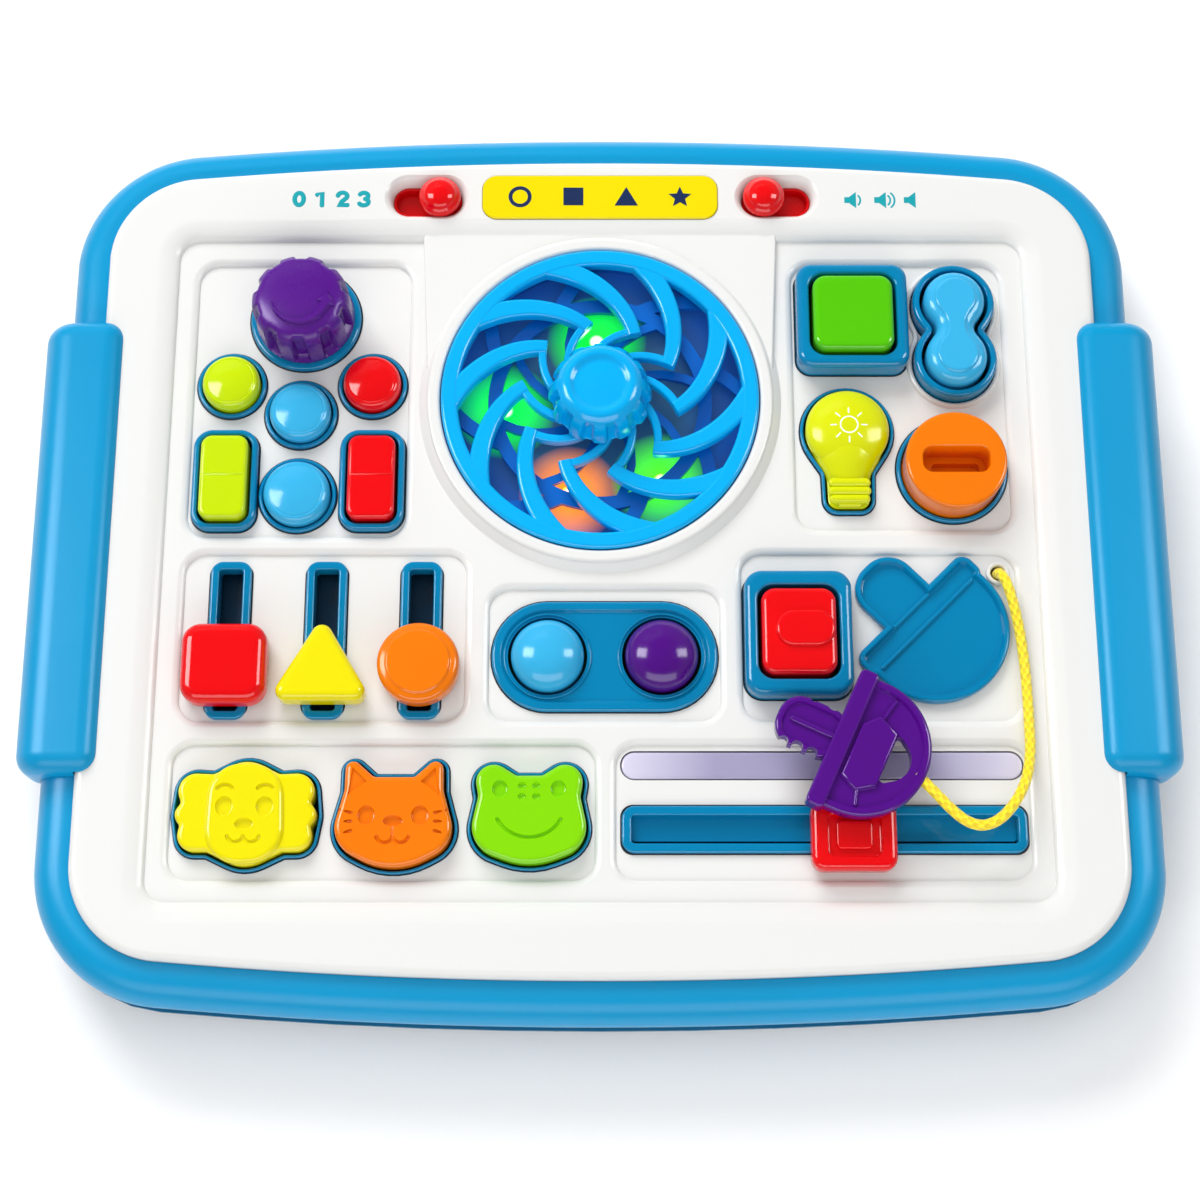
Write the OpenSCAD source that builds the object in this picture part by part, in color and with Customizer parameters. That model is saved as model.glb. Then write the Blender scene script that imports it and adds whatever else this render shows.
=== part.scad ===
// Light-up busy board: a two-shell tray of buttons, sliders and a spinner inside a soft rim

/* [Board] */
// Width of the white front panel
panel_w = 293; // [285:1:305]
// Depth of the front panel along its middle
panel_d = 245; // [240:1:256]
// Radius of the panel's corners
corner_r = 27; // [22:1:32]
// Radius of the bowed far and near edges
bow_r = 1400; // [1100:50:2000]
// Height of the panel face above the table
board_h = 32; // [31:0.5:36]
// Wall of both shells
wall = 2.4; // [1.8:0.1:3]
// Rounding of the panel's outer edge
panel_edge = 2.5; // [1:0.25:3]
// Thickness of the deck under the trays
deck_t = 2.5; // [2:0.1:3]
// Radius of the rim's tube
rim_r = 9; // [8:0.25:10]
// Distance of the tube's centre line outside the panel edge
rim_out = 2.7; // [2:0.1:4]
// Height of the tube's centre line
rim_z = 19.5; // [19:0.25:20]
// Thickness of the rim's tongue between the shells
tongue_t = 2; // [1:0.25:3]
// Height of the rubber feet
foot_h = 1.5; // [1:0.25:2.5]
// Radius of a rubber foot
foot_r = 9; // [6:0.5:11]

/* [Handles] */
// Length of each side handle
handle_l = 136; // [110:1:150]
// Width of each side handle
handle_w = 24; // [22:0.5:26]
// Height of the handle's top above the panel face
handle_rise = 3.5; // [2:0.25:6]
// Rounding of the handle
handle_r = 7; // [4:0.5:9]
// How far the handle reaches outside the panel edge
handle_out = 17.5; // [16:0.5:20]
// Place of the handles along Y
handle_y = 2; // [-10:1:10]

/* [Trays] */
// Width of the main recess at its floor
recess_w = 242; // [242:1:250]
// Depth along Y of the main recess at its floor
recess_l = 198; // [196:1:204]
// Place of the main recess along Y
recess_y = -2.2; // [-4:0.1:0]
// Depth of the main recess
recess_d = 3; // [2:0.25:4]
// Width of the recess's sloped wall
recess_slope = 4.8; // [2:0.2:5]
// Depth of the small trays below the main recess
tray_d = 1.6; // [1:0.1:2.5]
// Width of the trays' sloped walls
tray_slope = 1.2; // [0.5:0.1:1.3]
// Corner radius of the trays
tray_r = 6; // [3:0.5:8]
// Tray of round buttons and rockers: left, right, near, far
buttons_tray = [-119.4, -55.5, 4.4, 89.5]; // [-125:0.5:125]
// Tray of shaped buttons: left, right, near, far
shapes_tray = [57, 119, 6.5, 89.5]; // [-125:0.5:125]
// Tray of the upright sliders: left, right, near, far
slider_tray = [-119, -38.5, -50, -1]; // [-125:0.5:125]
// Tray of the two domes: left, right, near, far
dome_tray = [-31.5, 34, -50, -11.5]; // [-125:0.5:125]
// Tray of the switch and the key: left, right, near, far
key_well_tray = [40.5, 119, -50, -1]; // [-125:0.5:125]
// Tray of the animal buttons: left, right, near, far
animal_tray = [-119.6, -1.5, -95, -57]; // [-125:0.5:125]
// Tray of the light bar and the long slider: left, right, near, far
bar_tray = [4.5, 119.6, -95, -57]; // [-125:0.5:125]

/* [Round controls] */
// Radius of the lime and red round buttons
small_button_r = 8.6; // [7:0.1:9]
// Radius of the upper blue button
upper_button_r = 9.1; // [7:0.1:9.5]
// Radius of the lower blue button
lower_button_r = 9.8; // [7:0.1:10]
// Place of the lime button
lime_button_at = [-108.3, 51]; // [-120:0.1:120]
// Place of the red button
red_button_at = [-66.9, 51]; // [-120:0.1:120]
// Place of the upper blue button
upper_button_at = [-87.7, 42]; // [-120:0.1:120]
// Place of the lower blue button
lower_button_at = [-87.8, 17]; // [-120:0.1:120]
// Width of the flange round a round button
bezel_flange = 1.5; // [1.2:0.1:2]
// Height of the flat bezels
bezel_h = 1.5; // [1:0.1:2.5]
// Height of a round button above its tray
button_h = 6.2; // [5:0.1:8]
// Rounding of a round button's edge
button_edge = 2.4; // [1:0.1:4]
// Place of the rotary knob
knob_at = [-87.3, 72.2]; // [-120:0.1:120]
// Radius of the rotary knob
knob_r = 14.6; // [12:0.1:15]
// Radius of the ring under the knob
knob_ring_r = 16.8; // [15.5:0.1:17]
// Height of the knob's top above its tray
knob_h = 19.4; // [14:0.2:24]
// Number of flutes round the knob
flute_count = 10; // [6:1:14]
// Radius of a flute
flute_r = 2.6; // [1.5:0.1:3.2]
// Place of the lock
lock_at = [102.4, 24.7]; // [-120:0.1:120]
// Radius of the lock's cylinder
lock_r = 14.6; // [13:0.1:15]
// Height of the lock's top above its tray
lock_h = 11; // [8:0.2:14]
// Length of the key slot
slot_l = 18.5; // [17:0.5:21]
// Width of the key slot
slot_w = 6.6; // [6:0.1:8]
// Depth of the key slot
slot_depth = 9.5; // [6:0.5:12]
// Radius of the turning shafts
shaft_r = 3; // [2:0.1:4]
// Radius of the two domes
dome_r = 10.4; // [8:0.1:11]
// Height of a dome above its tray
dome_h = 8; // [6:0.1:10]
// Distance between the domes
dome_pitch = 32.4; // [28:0.2:36]
// Place of the dome plate
dome_at = [1.3, -31.2]; // [-120:0.1:120]
// Length of the dome plate
dome_plate_l = 64.2; // [62:0.2:66]
// Width of the dome plate
dome_plate_w = 32.2; // [28:0.2:34]

/* [Rockers] */
// Width of a rocker
rocker_w = 14.6; // [12:0.2:15]
// Length of a rocker
rocker_l = 26.4; // [24:0.2:26.8]
// Place of the lime rocker
lime_rocker_at = [-108.9, 21.3]; // [-120:0.1:120]
// Place of the red rocker
red_rocker_at = [-66.2, 21.3]; // [-120:0.1:120]
// Height of a rocker bezel
rocker_bezel_h = 3.4; // [2:0.1:5]
// Width of a rocker bezel's frame
rocker_frame = 1.8; // [1.4:0.1:2]
// Height of a rocker's top above its tray
rocker_h = 6; // [5:0.1:8]
// Tilt of a rocker to each side
rocker_tilt = 7; // [4:0.5:8]
// Radius of the rocker pins
pin_r = 1.2; // [1:0.05:1.3]
// Radius of each end of the peanut rocker
peanut_r = 9; // [8:0.1:9.5]
// Half the distance between the peanut's ends
peanut_reach = 8.8; // [8:0.1:9.5]
// Half the width of the peanut's waist
peanut_waist = 5.6; // [5:0.1:6]
// Radius of the peanut's waist curve
peanut_waist_r = 3.6; // [3.5:0.1:5]
// Place of the peanut rocker
peanut_at = [104.5, 66.8]; // [-120:0.1:120]
// Width of the peanut bezel's frame
peanut_frame = 3.1; // [2.6:0.1:3.2]
// Height of the peanut bezel
peanut_bezel_h = 6; // [4:0.1:8]
// Height of the peanut's top above its tray
peanut_h = 8; // [7:0.1:10]

/* [Shaped buttons] */
// Side of the square button
square_w = 24; // [20:0.2:25]
// Corner radius of the square button
square_r = 5; // [3:0.25:7]
// Width of the square bezel's frame
square_frame = 4.4; // [3:0.1:4.6]
// Height of the square bezel
square_bezel_h = 8; // [5:0.25:10]
// Height of the square button's top above its tray
square_h = 10; // [8:0.25:12]
// Place of the square button
square_at = [74.4, 71]; // [-120:0.1:120]
// Radius of the bulb's globe
globe_r = 12.2; // [11:0.1:12.4]
// Half the width of the bulb's screw
screw_hw = 6.1; // [5:0.1:6.5]
// Distance from the globe's centre to the screw's end
screw_reach = 23.8; // [22:0.1:24]
// Height of the bulb's top above its tray
bulb_h = 7.5; // [6:0.25:9]
// Place of the globe's centre
bulb_at = [72.2, 36.5]; // [-120:0.1:120]
// Width of the red switch cap
switch_w = 21.4; // [18:0.2:22]
// Length of the red switch cap
switch_l = 25.4; // [22:0.2:26]
// Corner radius of the red switch cap
switch_r = 4; // [3:0.25:6]
// Width of the switch bezel's frame
switch_frame = 4.6; // [3:0.1:5]
// Height of the switch bezel
switch_bezel_h = 7; // [5:0.25:7.5]
// Height of the red switch cap's top above its tray
switch_h = 8.4; // [7.5:0.1:8.6]
// Place of the red switch cap
switch_at = [56.2, -25.6]; // [-120:0.1:120]
// Height of the animal buttons above their tray
animal_h = 6; // [4.5:0.1:8]
// Place of the dog button
dog_at = [-98.2, -76.8]; // [-120:0.1:120]
// Place of the cat button
cat_at = [-57.1, -76.8]; // [-120:0.1:120]
// Place of the frog button
frog_at = [-19.6, -76.8]; // [-120:0.1:120]
// Width of the flange round the shaped buttons
shape_flange = 1.5; // [1.2:0.1:1.7]

/* [Sliders] */
// Places of the upright tracks along X
track_x = [-105.8, -78.3, -51.1]; // [-120:0.1:0]
// Place of the upright tracks along Y
track_y = -26.3; // [-30:0.1:-20]
// Width of an upright track
track_w = 11.8; // [10.5:0.1:13]
// Length of an upright track
track_l = 44.4; // [42:0.2:46]
// Width of an upright track's slot
track_slot_w = 6.8; // [5:0.1:7.5]
// Frame left at the ends of a slot
track_end = 1.5; // [1.5:0.1:2.5]
// Height of the tracks
track_h = 1.4; // [1:0.1:2]
// Side of the square slider
slider_w = 24; // [20:0.2:24.4]
// Width of the triangle slider
triangle_w = 25; // [22:0.2:25.4]
// Radius of the round slider
slider_r = 11.6; // [10:0.1:12]
// Length of a slider's stem along its slot
stem_l = 18; // [12:0.2:18.6]
// Height of the upright sliders' tops above their tray
slider_h = 9.6; // [7:0.2:12]
// Travel of the upright sliders towards the near end
slider_back = 3; // [1:0.5:4]
// Place of the long track
long_at = [62.4, -80.8]; // [-100:0.1:100]
// Length of the long track
long_l = 112.8; // [106:0.2:114]
// Width of the long track
long_w = 13.3; // [11:0.1:14]
// Width of the long track's slot
long_slot_w = 7.8; // [6:0.1:8.5]
// Width of the long slider along its track
long_slider_w = 23.6; // [20:0.2:25]
// Length of the long slider across its track
long_slider_l = 19.4; // [18:0.2:20]
// Height of the long slider above its tray
long_slider_h = 8.4; // [7.5:0.1:8.6]
// Place of the long slider along X
long_slider_x = 69.8; // [60:0.2:80]
// Length of the light bar
light_bar_l = 113; // [104:0.5:114]
// Width of the light bar
light_bar_w = 8.2; // [6:0.1:9]
// Place of the light bar
light_bar_at = [62.2, -62.6]; // [-100:0.1:100]

/* [Header] */
// Place of the yellow label
label_at = [0, 110.2]; // [-20:0.1:120]
// Length of the label
label_l = 70.6; // [60:0.2:74]
// Width of the label
label_w = 14.2; // [12:0.1:14.6]
// Thickness of the label
label_t = 1; // [0.6:0.1:1.4]
// Place of the mode switch
mode_at = [-52, 110.4]; // [-120:0.1:120]
// Place of the volume switch
volume_at = [53.1, 110.4]; // [-120:0.1:120]
// Length of a header switch's recess
header_l = 25.6; // [24:0.2:27]
// Width of a header switch's recess
header_w = 14; // [13.6:0.1:14.4]
// Depth of a header switch's recess
header_d = 1.6; // [1:0.1:2]
// Length of a header switch's well
well_l = 20.6; // [19:0.2:21]
// Width of a header switch's well
well_w = 9.8; // [8:0.1:10]
// Radius of a header switch's knob
header_knob_r = 6.3; // [5.5:0.1:6.4]
// Travel of a header switch
header_travel = 7.8; // [6:0.1:8]

/* [Spinner] */
// Place of the spinner
spinner_at = [0, 46.3]; // [-20:0.1:60]
// Outer radius of the spinner
spinner_r = 46.6; // [44:0.1:47]
// Width of the spinner's ring
spinner_ring = 4.9; // [4:0.1:6]
// Number of swept arms
arm_count = 10; // [7:1:12]
// Angle that an arm sweeps on its way inwards
arm_sweep = 42; // [30:1:50]
// Radius where an arm's broad part ends
arm_inner_r = 22.2; // [20:0.2:25]
// Width of an arm at the ring
arm_w = 5.6; // [4:0.1:6.5]
// Width of the thin spokes
spoke_w = 2.4; // [1.8:0.1:3]
// Height of the spinner's ring above the main recess
spinner_rise = 3.6; // [3:0.1:4.5]
// Thickness of the spinner's ring
spinner_t = 3.8; // [3:0.1:4.2]
// Radius of the spinner's knob
spin_knob_r = 13.6; // [12:0.1:15]
// Height of the spinner's knob above the main recess
spin_knob_h = 14.2; // [10:0.2:18]
// Number of ribs round the spinner's knob
rib_count = 12; // [8:1:16]
// Rise of the spinner's block above the main recess
block_h = 2; // [1:0.1:2.6]
// Frame of the block round the spinner
block_frame = 4.4; // [3.5:0.1:5]

/* [Key] */
// Thickness of the key
key_t = 7; // [6:0.2:8]
// Length of the key's bar
key_bar_l = 41; // [38:0.5:42]
// Width of the key's bar
key_bar_w = 5.4; // [4:0.1:6]
// Radius of the key's bow
bow_key_r = 19.5; // [18:0.1:20]
// Reach of the bow from the bar
key_bow_reach = 25; // [24.6:0.1:26]
// Length of the blade from the bar's middle
blade_reach = 20; // [18:0.2:21]
// Width of the key's blade
blade_w = 14.6; // [13:0.1:15]
// Thickness of the key's blade
blade_t = 5; // [4:0.1:5.4]
// Place of the bar's middle where the key lies
key_at = [66.6, -57.8]; // [-120:0.1:120]
// Turn of the key where it lies
key_turn = -24.6; // [-30:0.1:-20]
// Place of the bar's middle in the key's tray
key_tray_at = [91.3, -19.6]; // [-120:0.1:120]
// Turn of the key's tray
key_tray_turn = -45.3; // [-50:0.1:-40]
// Frame of the tray round the key's outline
key_tray_frame = 2; // [1.5:0.1:2.2]
// Height of the key's tray
key_tray_h = 2.2; // [1.5:0.1:2.6]
// How far the key can be lifted on its cord
key_lift = 60; // [20:5:80]
// Diameter of the cord
cord_d = 3; // [2.6:0.1:3.2]

/* [Inside] */
// Height of the circuit board's underside
board_z = 11; // [10:0.25:12]
// Thickness of the circuit board
board_t = 1.6; // [1:0.1:2]
// Width of the circuit board
board_w = 250; // [246:1:254]
// Travel of a pressed button
travel = 2.5; // [1.5:0.1:3]
// Diameter of a battery cell
cell_d = 14.5; // [14:0.1:14.6]
// Length of a battery cell
cell_l = 50.5; // [49:0.1:51]
// Radius of the speaker
speaker_r = 20; // [14:0.5:24]
// Height of the speaker
speaker_h = 6; // [4:0.25:6.5]
// Radius of a case screw
screw_r = 1.5; // [1.25:0.05:1.75]
// Wire of the return springs
wire_d = 0.8; // [0.6:0.05:1]
// Turns of a return spring
spring_turns = 4; // [3:1:5]

/* [Fits] */
// Gap round a moving cap
slide_gap = 0.3; // [0.25:0.05:0.4]
// Radial clearance of a shaft or pin in its bore
shaft_gap = 0.05; // [0.02:0.01:0.08]
// Gap between a fixed insert and its hole
seat_gap = 0.1; // [0.05:0.05:0.15]
// Gap round a rocker where it swings
swing_gap = 1.1; // [1.05:0.05:1.3]
// Wall of a sleeve through the panel
sleeve_t = 0.7; // [0.6:0.05:0.8]

/* [Hidden] */
$fn = 48;

blue = "#1690cc";
deep_blue = "#0a7ab4";
white = "#f4f4f2";
lime = "#cdea1c";
red = "#e8141f";
light_blue = "#48b8e8";
purple = "#6a1fa8";
green = "#5cc81c";
orange = "#f8861a";
yellow = "#f6ea10";
steel = "#b9bcc0";

// Heights, from the table up
base_z = foot_h;
floor_z = base_z + wall;
flange_top_z = rim_z - rim_r + 0.5;
split_low_z = rim_z - tongue_t / 2;
split_high_z = rim_z + tongue_t / 2;
face_z = board_h;
recess_z = face_z - recess_d;
tray_z = recess_z - tray_d;
deck_z = tray_z - deck_t;
sleeve_drop = 1.5;
sleeve_z = deck_z - sleeve_drop;
stop_z = sleeve_z - slide_gap;
stop_t = 1.5;
stop_w = 0.8;
board_top_z = board_z + board_t;
switch_body_h = 3.5;
switch_top_z = board_top_z + switch_body_h + 1.5;
stem_r = 2;
stem_z = switch_top_z + travel + 0.2;
block_z = recess_z + block_h;
bite = 1;

// Panel outline: corner centres, bow centre and the bow's slant where it meets a corner
corner_x = panel_w / 2 - corner_r;
bow_y = panel_d / 2 - bow_r;
bow_tilt = asin(corner_x / (bow_r - corner_r));
corner_y = (bow_r - corner_r) * cos(bow_tilt) + bow_y;
corner_steps = 7;
bow_steps = 10;

function arc(at, r, from, to, steps) =
    [for (k = [0 : steps]) let (a = from + (to - from) * k / steps) [at.x + r * cos(a), at.y + r * sin(a)]];

function between(list) = [for (k = [1 : len(list) - 2]) list[k]];

// Points of the panel outline, moved outwards by out
function outline(out) = concat(
    arc([corner_x, corner_y], corner_r + out, 0, 90 - bow_tilt, corner_steps),
    between(arc([0, bow_y], bow_r + out, 90 - bow_tilt, 90 + bow_tilt, bow_steps)),
    arc([-corner_x, corner_y], corner_r + out, 90 + bow_tilt, 180, corner_steps),
    arc([-corner_x, -corner_y], corner_r + out, 180, 270 - bow_tilt, corner_steps),
    between(arc([0, -bow_y], bow_r + out, 270 - bow_tilt, 270 + bow_tilt, bow_steps)),
    arc([corner_x, -corner_y], corner_r + out, 270 + bow_tilt, 360, corner_steps));

// Direction in which a belt runs from circle a to circle b
function run(a, b) =
    atan2(b.y - a.y, b.x - a.x) + asin((a[2] - b[2]) / norm([b.x - a.x, b.y - a.y]));

function wrap(a) = a - 360 * floor(a / 360);

// Points of a belt laid anticlockwise round circles [x, y, radius], drawn in by inset.
// A circle with a negative radius bends the belt inwards.
function belt(circles, inset = 0, steps = 5) = [
    for (i = [0 : len(circles) - 1])
        let (n = len(circles),
             c = circles[i],
             from = run(circles[(i + n - 1) % n], c),
             turn = wrap(run(c, circles[(i + 1) % n]) - from),
             bend = c[2] > 0 ? turn : turn - 360)
        for (k = [0 : steps])
            let (a = from + bend * k / steps)
            [c.x + (c[2] - inset) * sin(a), c.y - (c[2] - inset) * cos(a)]
];

// Circles of a rounded rectangle
function plate(at, w, l, r) =
    [for (s = [[1, -1], [1, 1], [-1, 1], [-1, -1]]) [at.x + s.x * (w / 2 - r), at.y + s.y * (l / 2 - r), r]];

// Circles moved to a place
function moved(circles, at) = [for (c = circles) [c.x + at.x, c.y + at.y, c[2]]];

// Circles mirrored in X and put in anticlockwise order
function mirrored(circles) = [for (k = [len(circles) - 1 : -1 : 0]) [-circles[k].x, circles[k].y, circles[k][2]]];

function lifted(points, z) = [for (p = points) [p.x, p.y, z]];

// Circles of each shaped cap, at its own place
square_c = plate(square_at, square_w, square_w, square_r);
switch_c = plate(switch_at, switch_w, switch_l, switch_r);
neck_r = 3.3;
screw_corner_r = 2.9;
bulb_c = moved([
    [-screw_hw + screw_corner_r, -screw_reach + screw_corner_r, screw_corner_r],
    [screw_hw - screw_corner_r, -screw_reach + screw_corner_r, screw_corner_r],
    [screw_hw + neck_r + 0.2, -globe_r - 1.5, -neck_r],
    [0, 0, globe_r],
    [-screw_hw - neck_r - 0.2, -globe_r - 1.5, -neck_r]], bulb_at);
peanut_c = moved([
    [0, -peanut_reach, peanut_r],
    [peanut_waist + peanut_waist_r, 0, -peanut_waist_r],
    [0, peanut_reach, peanut_r],
    [-peanut_waist - peanut_waist_r, 0, -peanut_waist_r]], peanut_at);
dog_right = [[12, -12, -1.8], [14.5, -6, 3.6], [15, -0.6, 4.2], [14, 6.6, 4], [10.4, 12.5, -1.8]];
dog_c = moved(concat([[0, -3.8, 10.2]], dog_right, [[0, 3.8, 10]], mirrored(dog_right)), dog_at);
cat_right = [[8.5, -2.5, 8], [11.3, 12.2, 2.2], [4.6, 11.7, -1.9]];
cat_c = moved(concat([[0, -3.5, 11]], cat_right, mirrored(cat_right)), cat_at);
frog_right = [[8, -3.2, 7.8], [16.5, 4.8, -1.8], [9.8, 8.2, 5.1], [3, 12, -1.8]];
frog_c = moved(concat([[0, -2.5, 11.2]], frog_right, mirrored(frog_right)), frog_at);
triangle_r = 3;
triangle_c = [
    [-triangle_w / 2 + triangle_r, -triangle_w * 0.44 + triangle_r, triangle_r],
    [triangle_w / 2 - triangle_r, -triangle_w * 0.44 + triangle_r, triangle_r],
    [0, triangle_w * 0.44 - triangle_r, triangle_r]];
pressed_shapes = [[square_c, 5], [switch_c, 5], [bulb_c, 8], [dog_c, 4], [cat_c, 4], [frog_c, 4]];

// Round caps as [place, radius], and the places of every pressed cap's stem
dome_places = [for (s = [-1, 1]) [dome_at.x + s * dome_pitch / 2, dome_at.y]];
round_caps = [[lime_button_at, small_button_r], [red_button_at, small_button_r],
    [upper_button_at, upper_button_r], [lower_button_at, lower_button_r]];
rocker_places = [lime_rocker_at, red_rocker_at];
stem_places = concat([for (c = round_caps) c[0]], dome_places,
    [square_at, switch_at, bulb_at, dog_at, cat_at, frog_at]);
rocker_prong_y = 9;
peanut_prong_y = 9;
prong_places = concat(
    [for (p = rocker_places, s = [-1, 1]) [p.x, p.y + s * rocker_prong_y]],
    [for (s = [-1, 1]) [peanut_at.x, peanut_at.y + s * peanut_prong_y]]);
rocker_z = tray_z - deck_t / 2 - 0.2;
prong_z = switch_top_z + rocker_prong_y * sin(rocker_tilt) + 0.4;
rocker_bottom_z = rocker_z - 3.6;

// Sliders: slots, rest places and the heights they share
slot_len = track_l - 2 * track_end;
slider_y = track_y - slot_len / 2 + slide_gap + slider_back + stem_l / 2;
long_slot_l = long_l - 2 * (long_w - long_slot_w) / 2;
slider_low_z = tray_z + track_h + slide_gap;
long_stem_l = long_slider_w - 3.6;
foot_t = 2;
foot_w = 3.6;
well_z = face_z - header_d;
well_floor_z = well_z - 1.6;
well_t = 2.2;
header_boss = 2;
well_flange = 1.2;
header_low_z = well_floor_z - well_t;
header_slot_l = 2 * header_travel - 4;
header_stem_w = 3.6;
mode_knob_at = [mode_at.x + header_travel / 2, mode_at.y];
volume_knob_at = [volume_at.x - header_travel / 2, volume_at.y];

// Key: circles in its own frame, with the bar along Y and the blade towards -X
key_low_z = tray_z + long_slider_h + slide_gap;
key_bow_c = [[0, -bow_key_r + 2.5, 2.5], [key_bow_reach - bow_key_r, 0, bow_key_r], [0, bow_key_r - 2.5, 2.5]];
key_blade_c = plate([-blade_reach / 2 + 1, -0.6], blade_reach, blade_w, 6.4);
key_bar_c = plate([0, 0], key_bar_w, key_bar_l, 1.6);
key_hole_c = [[key_bow_reach - 10.4, -5.8, 1.1], [key_bow_reach - 11.5, 0, 6.5], [key_bow_reach - 10.4, 5.8, 1.1]];
key_boss = [[3.6, -9.6], [8.6, -11.8], [13.4, -8.6], [13.4, 7.2], [7.2, 9.8], [3.6, 6]];
blade_teeth = [-16, -12.4, -8.6];

// Cord: hand-laid route from the eyelet to the key's edge
eyelet_at = [114.2, -6.6];
eyelet_r = 3.4;
cord_route = [[114.2, -6.6, 26], [114.2, -6.6, 27.2], [114.4, -7.1, 29.7], [115, -8.7, 31.7],
    [115.6, -10.6, 32.8], [116.1, -12.4, 33.2], [117, -15.8, 33], [118, -20.2, 32.3], [118.9, -25, 31.5],
    [119.5, -30, 31], [119.9, -35, 30.8], [120.1, -41, 30.8], [120.2, -47, 30.8], [120.2, -53, 31],
    [120, -57.6, 31.8], [119.4, -61.6, 33.1], [118.5, -65.2, 34.8], [117.1, -69, 36.5], [115, -73, 37.8],
    [112.4, -76.6, 38.4], [109.8, -79.2, 38.7], [107.2, -80.8, 38.9], [104.6, -81.5, 39.1], [102.2, -81.3, 39.3],
    [99.8, -80.3, 39.5], [97.4, -78.6, 39.7], [95, -76.3, 39.8], [92.6, -73.7, 39.8], [90.2, -71.1, 39.8],
    [86.8, -67.4, 39.8]];
cord_sides = 8;
eyelet_floor_z = 26;

// Inside: batteries, board, screws and speaker
cell_pitch = cell_d + 0.7;
cell_count = 3;
box_wall = 1.6;
box_l = cell_l + 5;
box_w = cell_count * cell_pitch + 1;
cell_z = floor_z + 0.3 + cell_d / 2;
box_top_z = cell_z + cell_d / 2 + 0.3;
bowl_z = box_top_z + box_wall + 0.3;
bowl_t = 1.4;
bowl_r = spinner_r + 3;
grille_z = bowl_z + bowl_t;
grille_top_z = deck_z + 1.4;
door_lip = 3;
board_far_y = recess_y + recess_l / 2 - 2;
board_near_y = recess_y - recess_l / 2 + 2;
board_post_x = board_w / 2 - 5;
board_posts = [for (x = [-board_post_x, board_post_x], y = [board_near_y + 6, board_far_y - 6]) [x, y]];
side_screw_x = panel_w / 2 - 10.5;
case_screw_places = concat([for (x = [-side_screw_x, side_screw_x], y = [-84, 84]) [x, y]],
    [for (x = [-50, 50]) [x, 8 - panel_d / 2]], [for (x = [-100, 100]) [x, panel_d / 2 - 12]]);
boss_r = 3.6;
boss_joint_z = board_z + 1;
screw_head_r = 2.8;
screw_head_t = 1.8;
door_screw_at = [spinner_at.x, spinner_at.y - box_w / 2 - box_wall - door_lip - 1.5];
foot_inset = 34.5;
foot_places = [for (x = [-1, 1], y = [-1, 1]) [x * (panel_w / 2 - foot_inset), y * (panel_d / 2 - foot_inset)]];
speaker_at = [-78, -28];
spring_r = 4.9;
bush_r = shaft_r + 3;
door_tail = 12;
door_y = spinner_at.y + (door_lip - door_tail) / 2;
door_w = box_l + 2 * door_lip;
door_l = box_w + door_lip + door_tail;
door_t = wall / 2;
door_head_t = 1.2;
encoder_h = 6.5;
shaft_low_z = board_top_z + 2;
led_r = 2.4;
led_base = 0.4;
led_dome_r = 1.3;
led_places = [[-1, 21], [-28, -1], [18, -23], [-9, -27]];
bar_led_count = 6;
spinner_top_z = recess_z + spinner_rise;
spinner_low_z = spinner_top_z - spinner_t;
spin_knob_z = recess_z + spin_knob_h;
spin_pin_z = spin_knob_z - 3;
hub_r = 12;
cord_in = cord_route[len(cord_route) - 2] - cord_route[len(cord_route) - 1];
header_stem_l = header_slot_l - header_travel - 2 * slide_gap;
header_foot_z = header_low_z - 1.2 - slide_gap;

// Solid through rings of points with the same count, closed by a fan at each end
module loft(rings, low_mid, high_mid) {
    n = len(rings[0]);
    m = len(rings);
    points = concat([for (r = rings) each r], [low_mid, high_mid]);
    sides = [for (i = [0 : m - 2], j = [0 : n - 1])
        let (a = i * n + j, d = i * n + (j + 1) % n)
        each [[a, a + n, d + n], [a, d + n, d]]];
    low = [for (j = [0 : n - 1]) [m * n, j, (j + 1) % n]];
    high = [for (j = [0 : n - 1]) [m * n + 1, (m - 1) * n + (j + 1) % n, (m - 1) * n + j]];
    polyhedron(points, concat(sides, low, high));
}

// Solid whose last ring meets its first, as a band that goes round
module hoop(rings) {
    n = len(rings[0]);
    m = len(rings);
    polyhedron([for (r = rings) each r], [for (i = [0 : m - 1], j = [0 : n - 1])
        let (a = i * n + j, d = i * n + (j + 1) % n, up = (i + 1) % m * n, b = up + j, c = up + (j + 1) % n)
        each [[a, b, c], [a, c, d]]]);
}

// Flat-topped solid of an outline drawn in by inset
module slab(circles, inset, z0, z1, steps = 5) {
    translate([0, 0, z0])
        linear_extrude(z1 - z0)
            polygon(belt(circles, inset, steps));
}

// Cap of an outline whose top edge is rounded, with its fan's middle at mid
module pillow(circles, inset, z0, z1, edge, mid, crown = 0, steps = 5) {
    rounds = 3;
    rings = concat([lifted(belt(circles, inset, steps), z0)], [for (k = [0 : rounds])
        let (a = 90 * k / rounds)
        lifted(belt(circles, inset + edge * (1 - cos(a)), steps), z1 - crown - edge + edge * sin(a))]);
    loft(rings, [mid.x, mid.y, z0], [mid.x, mid.y, z1]);
}

module at(place) {
    translate([place.x, place.y, 0])
        children();
}

// Stem of a pressed cap over its switch
module cap_stem() {
    translate([0, 0, stem_z])
        cylinder(r = stem_r, h = stop_z - stop_t - stem_z + bite);
}

// Pressed cap of a shaped outline: rounded head, stop flange under the sleeve and stem
module shaped_cap(circles, place, height, edge, crown, steps = 5) {
    pillow(circles, 0, stop_z - bite, tray_z + height, edge, place, crown, steps);
    slab(circles, -stop_w, stop_z - stop_t, stop_z, steps);
    at(place)
        cap_stem();
}

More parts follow.
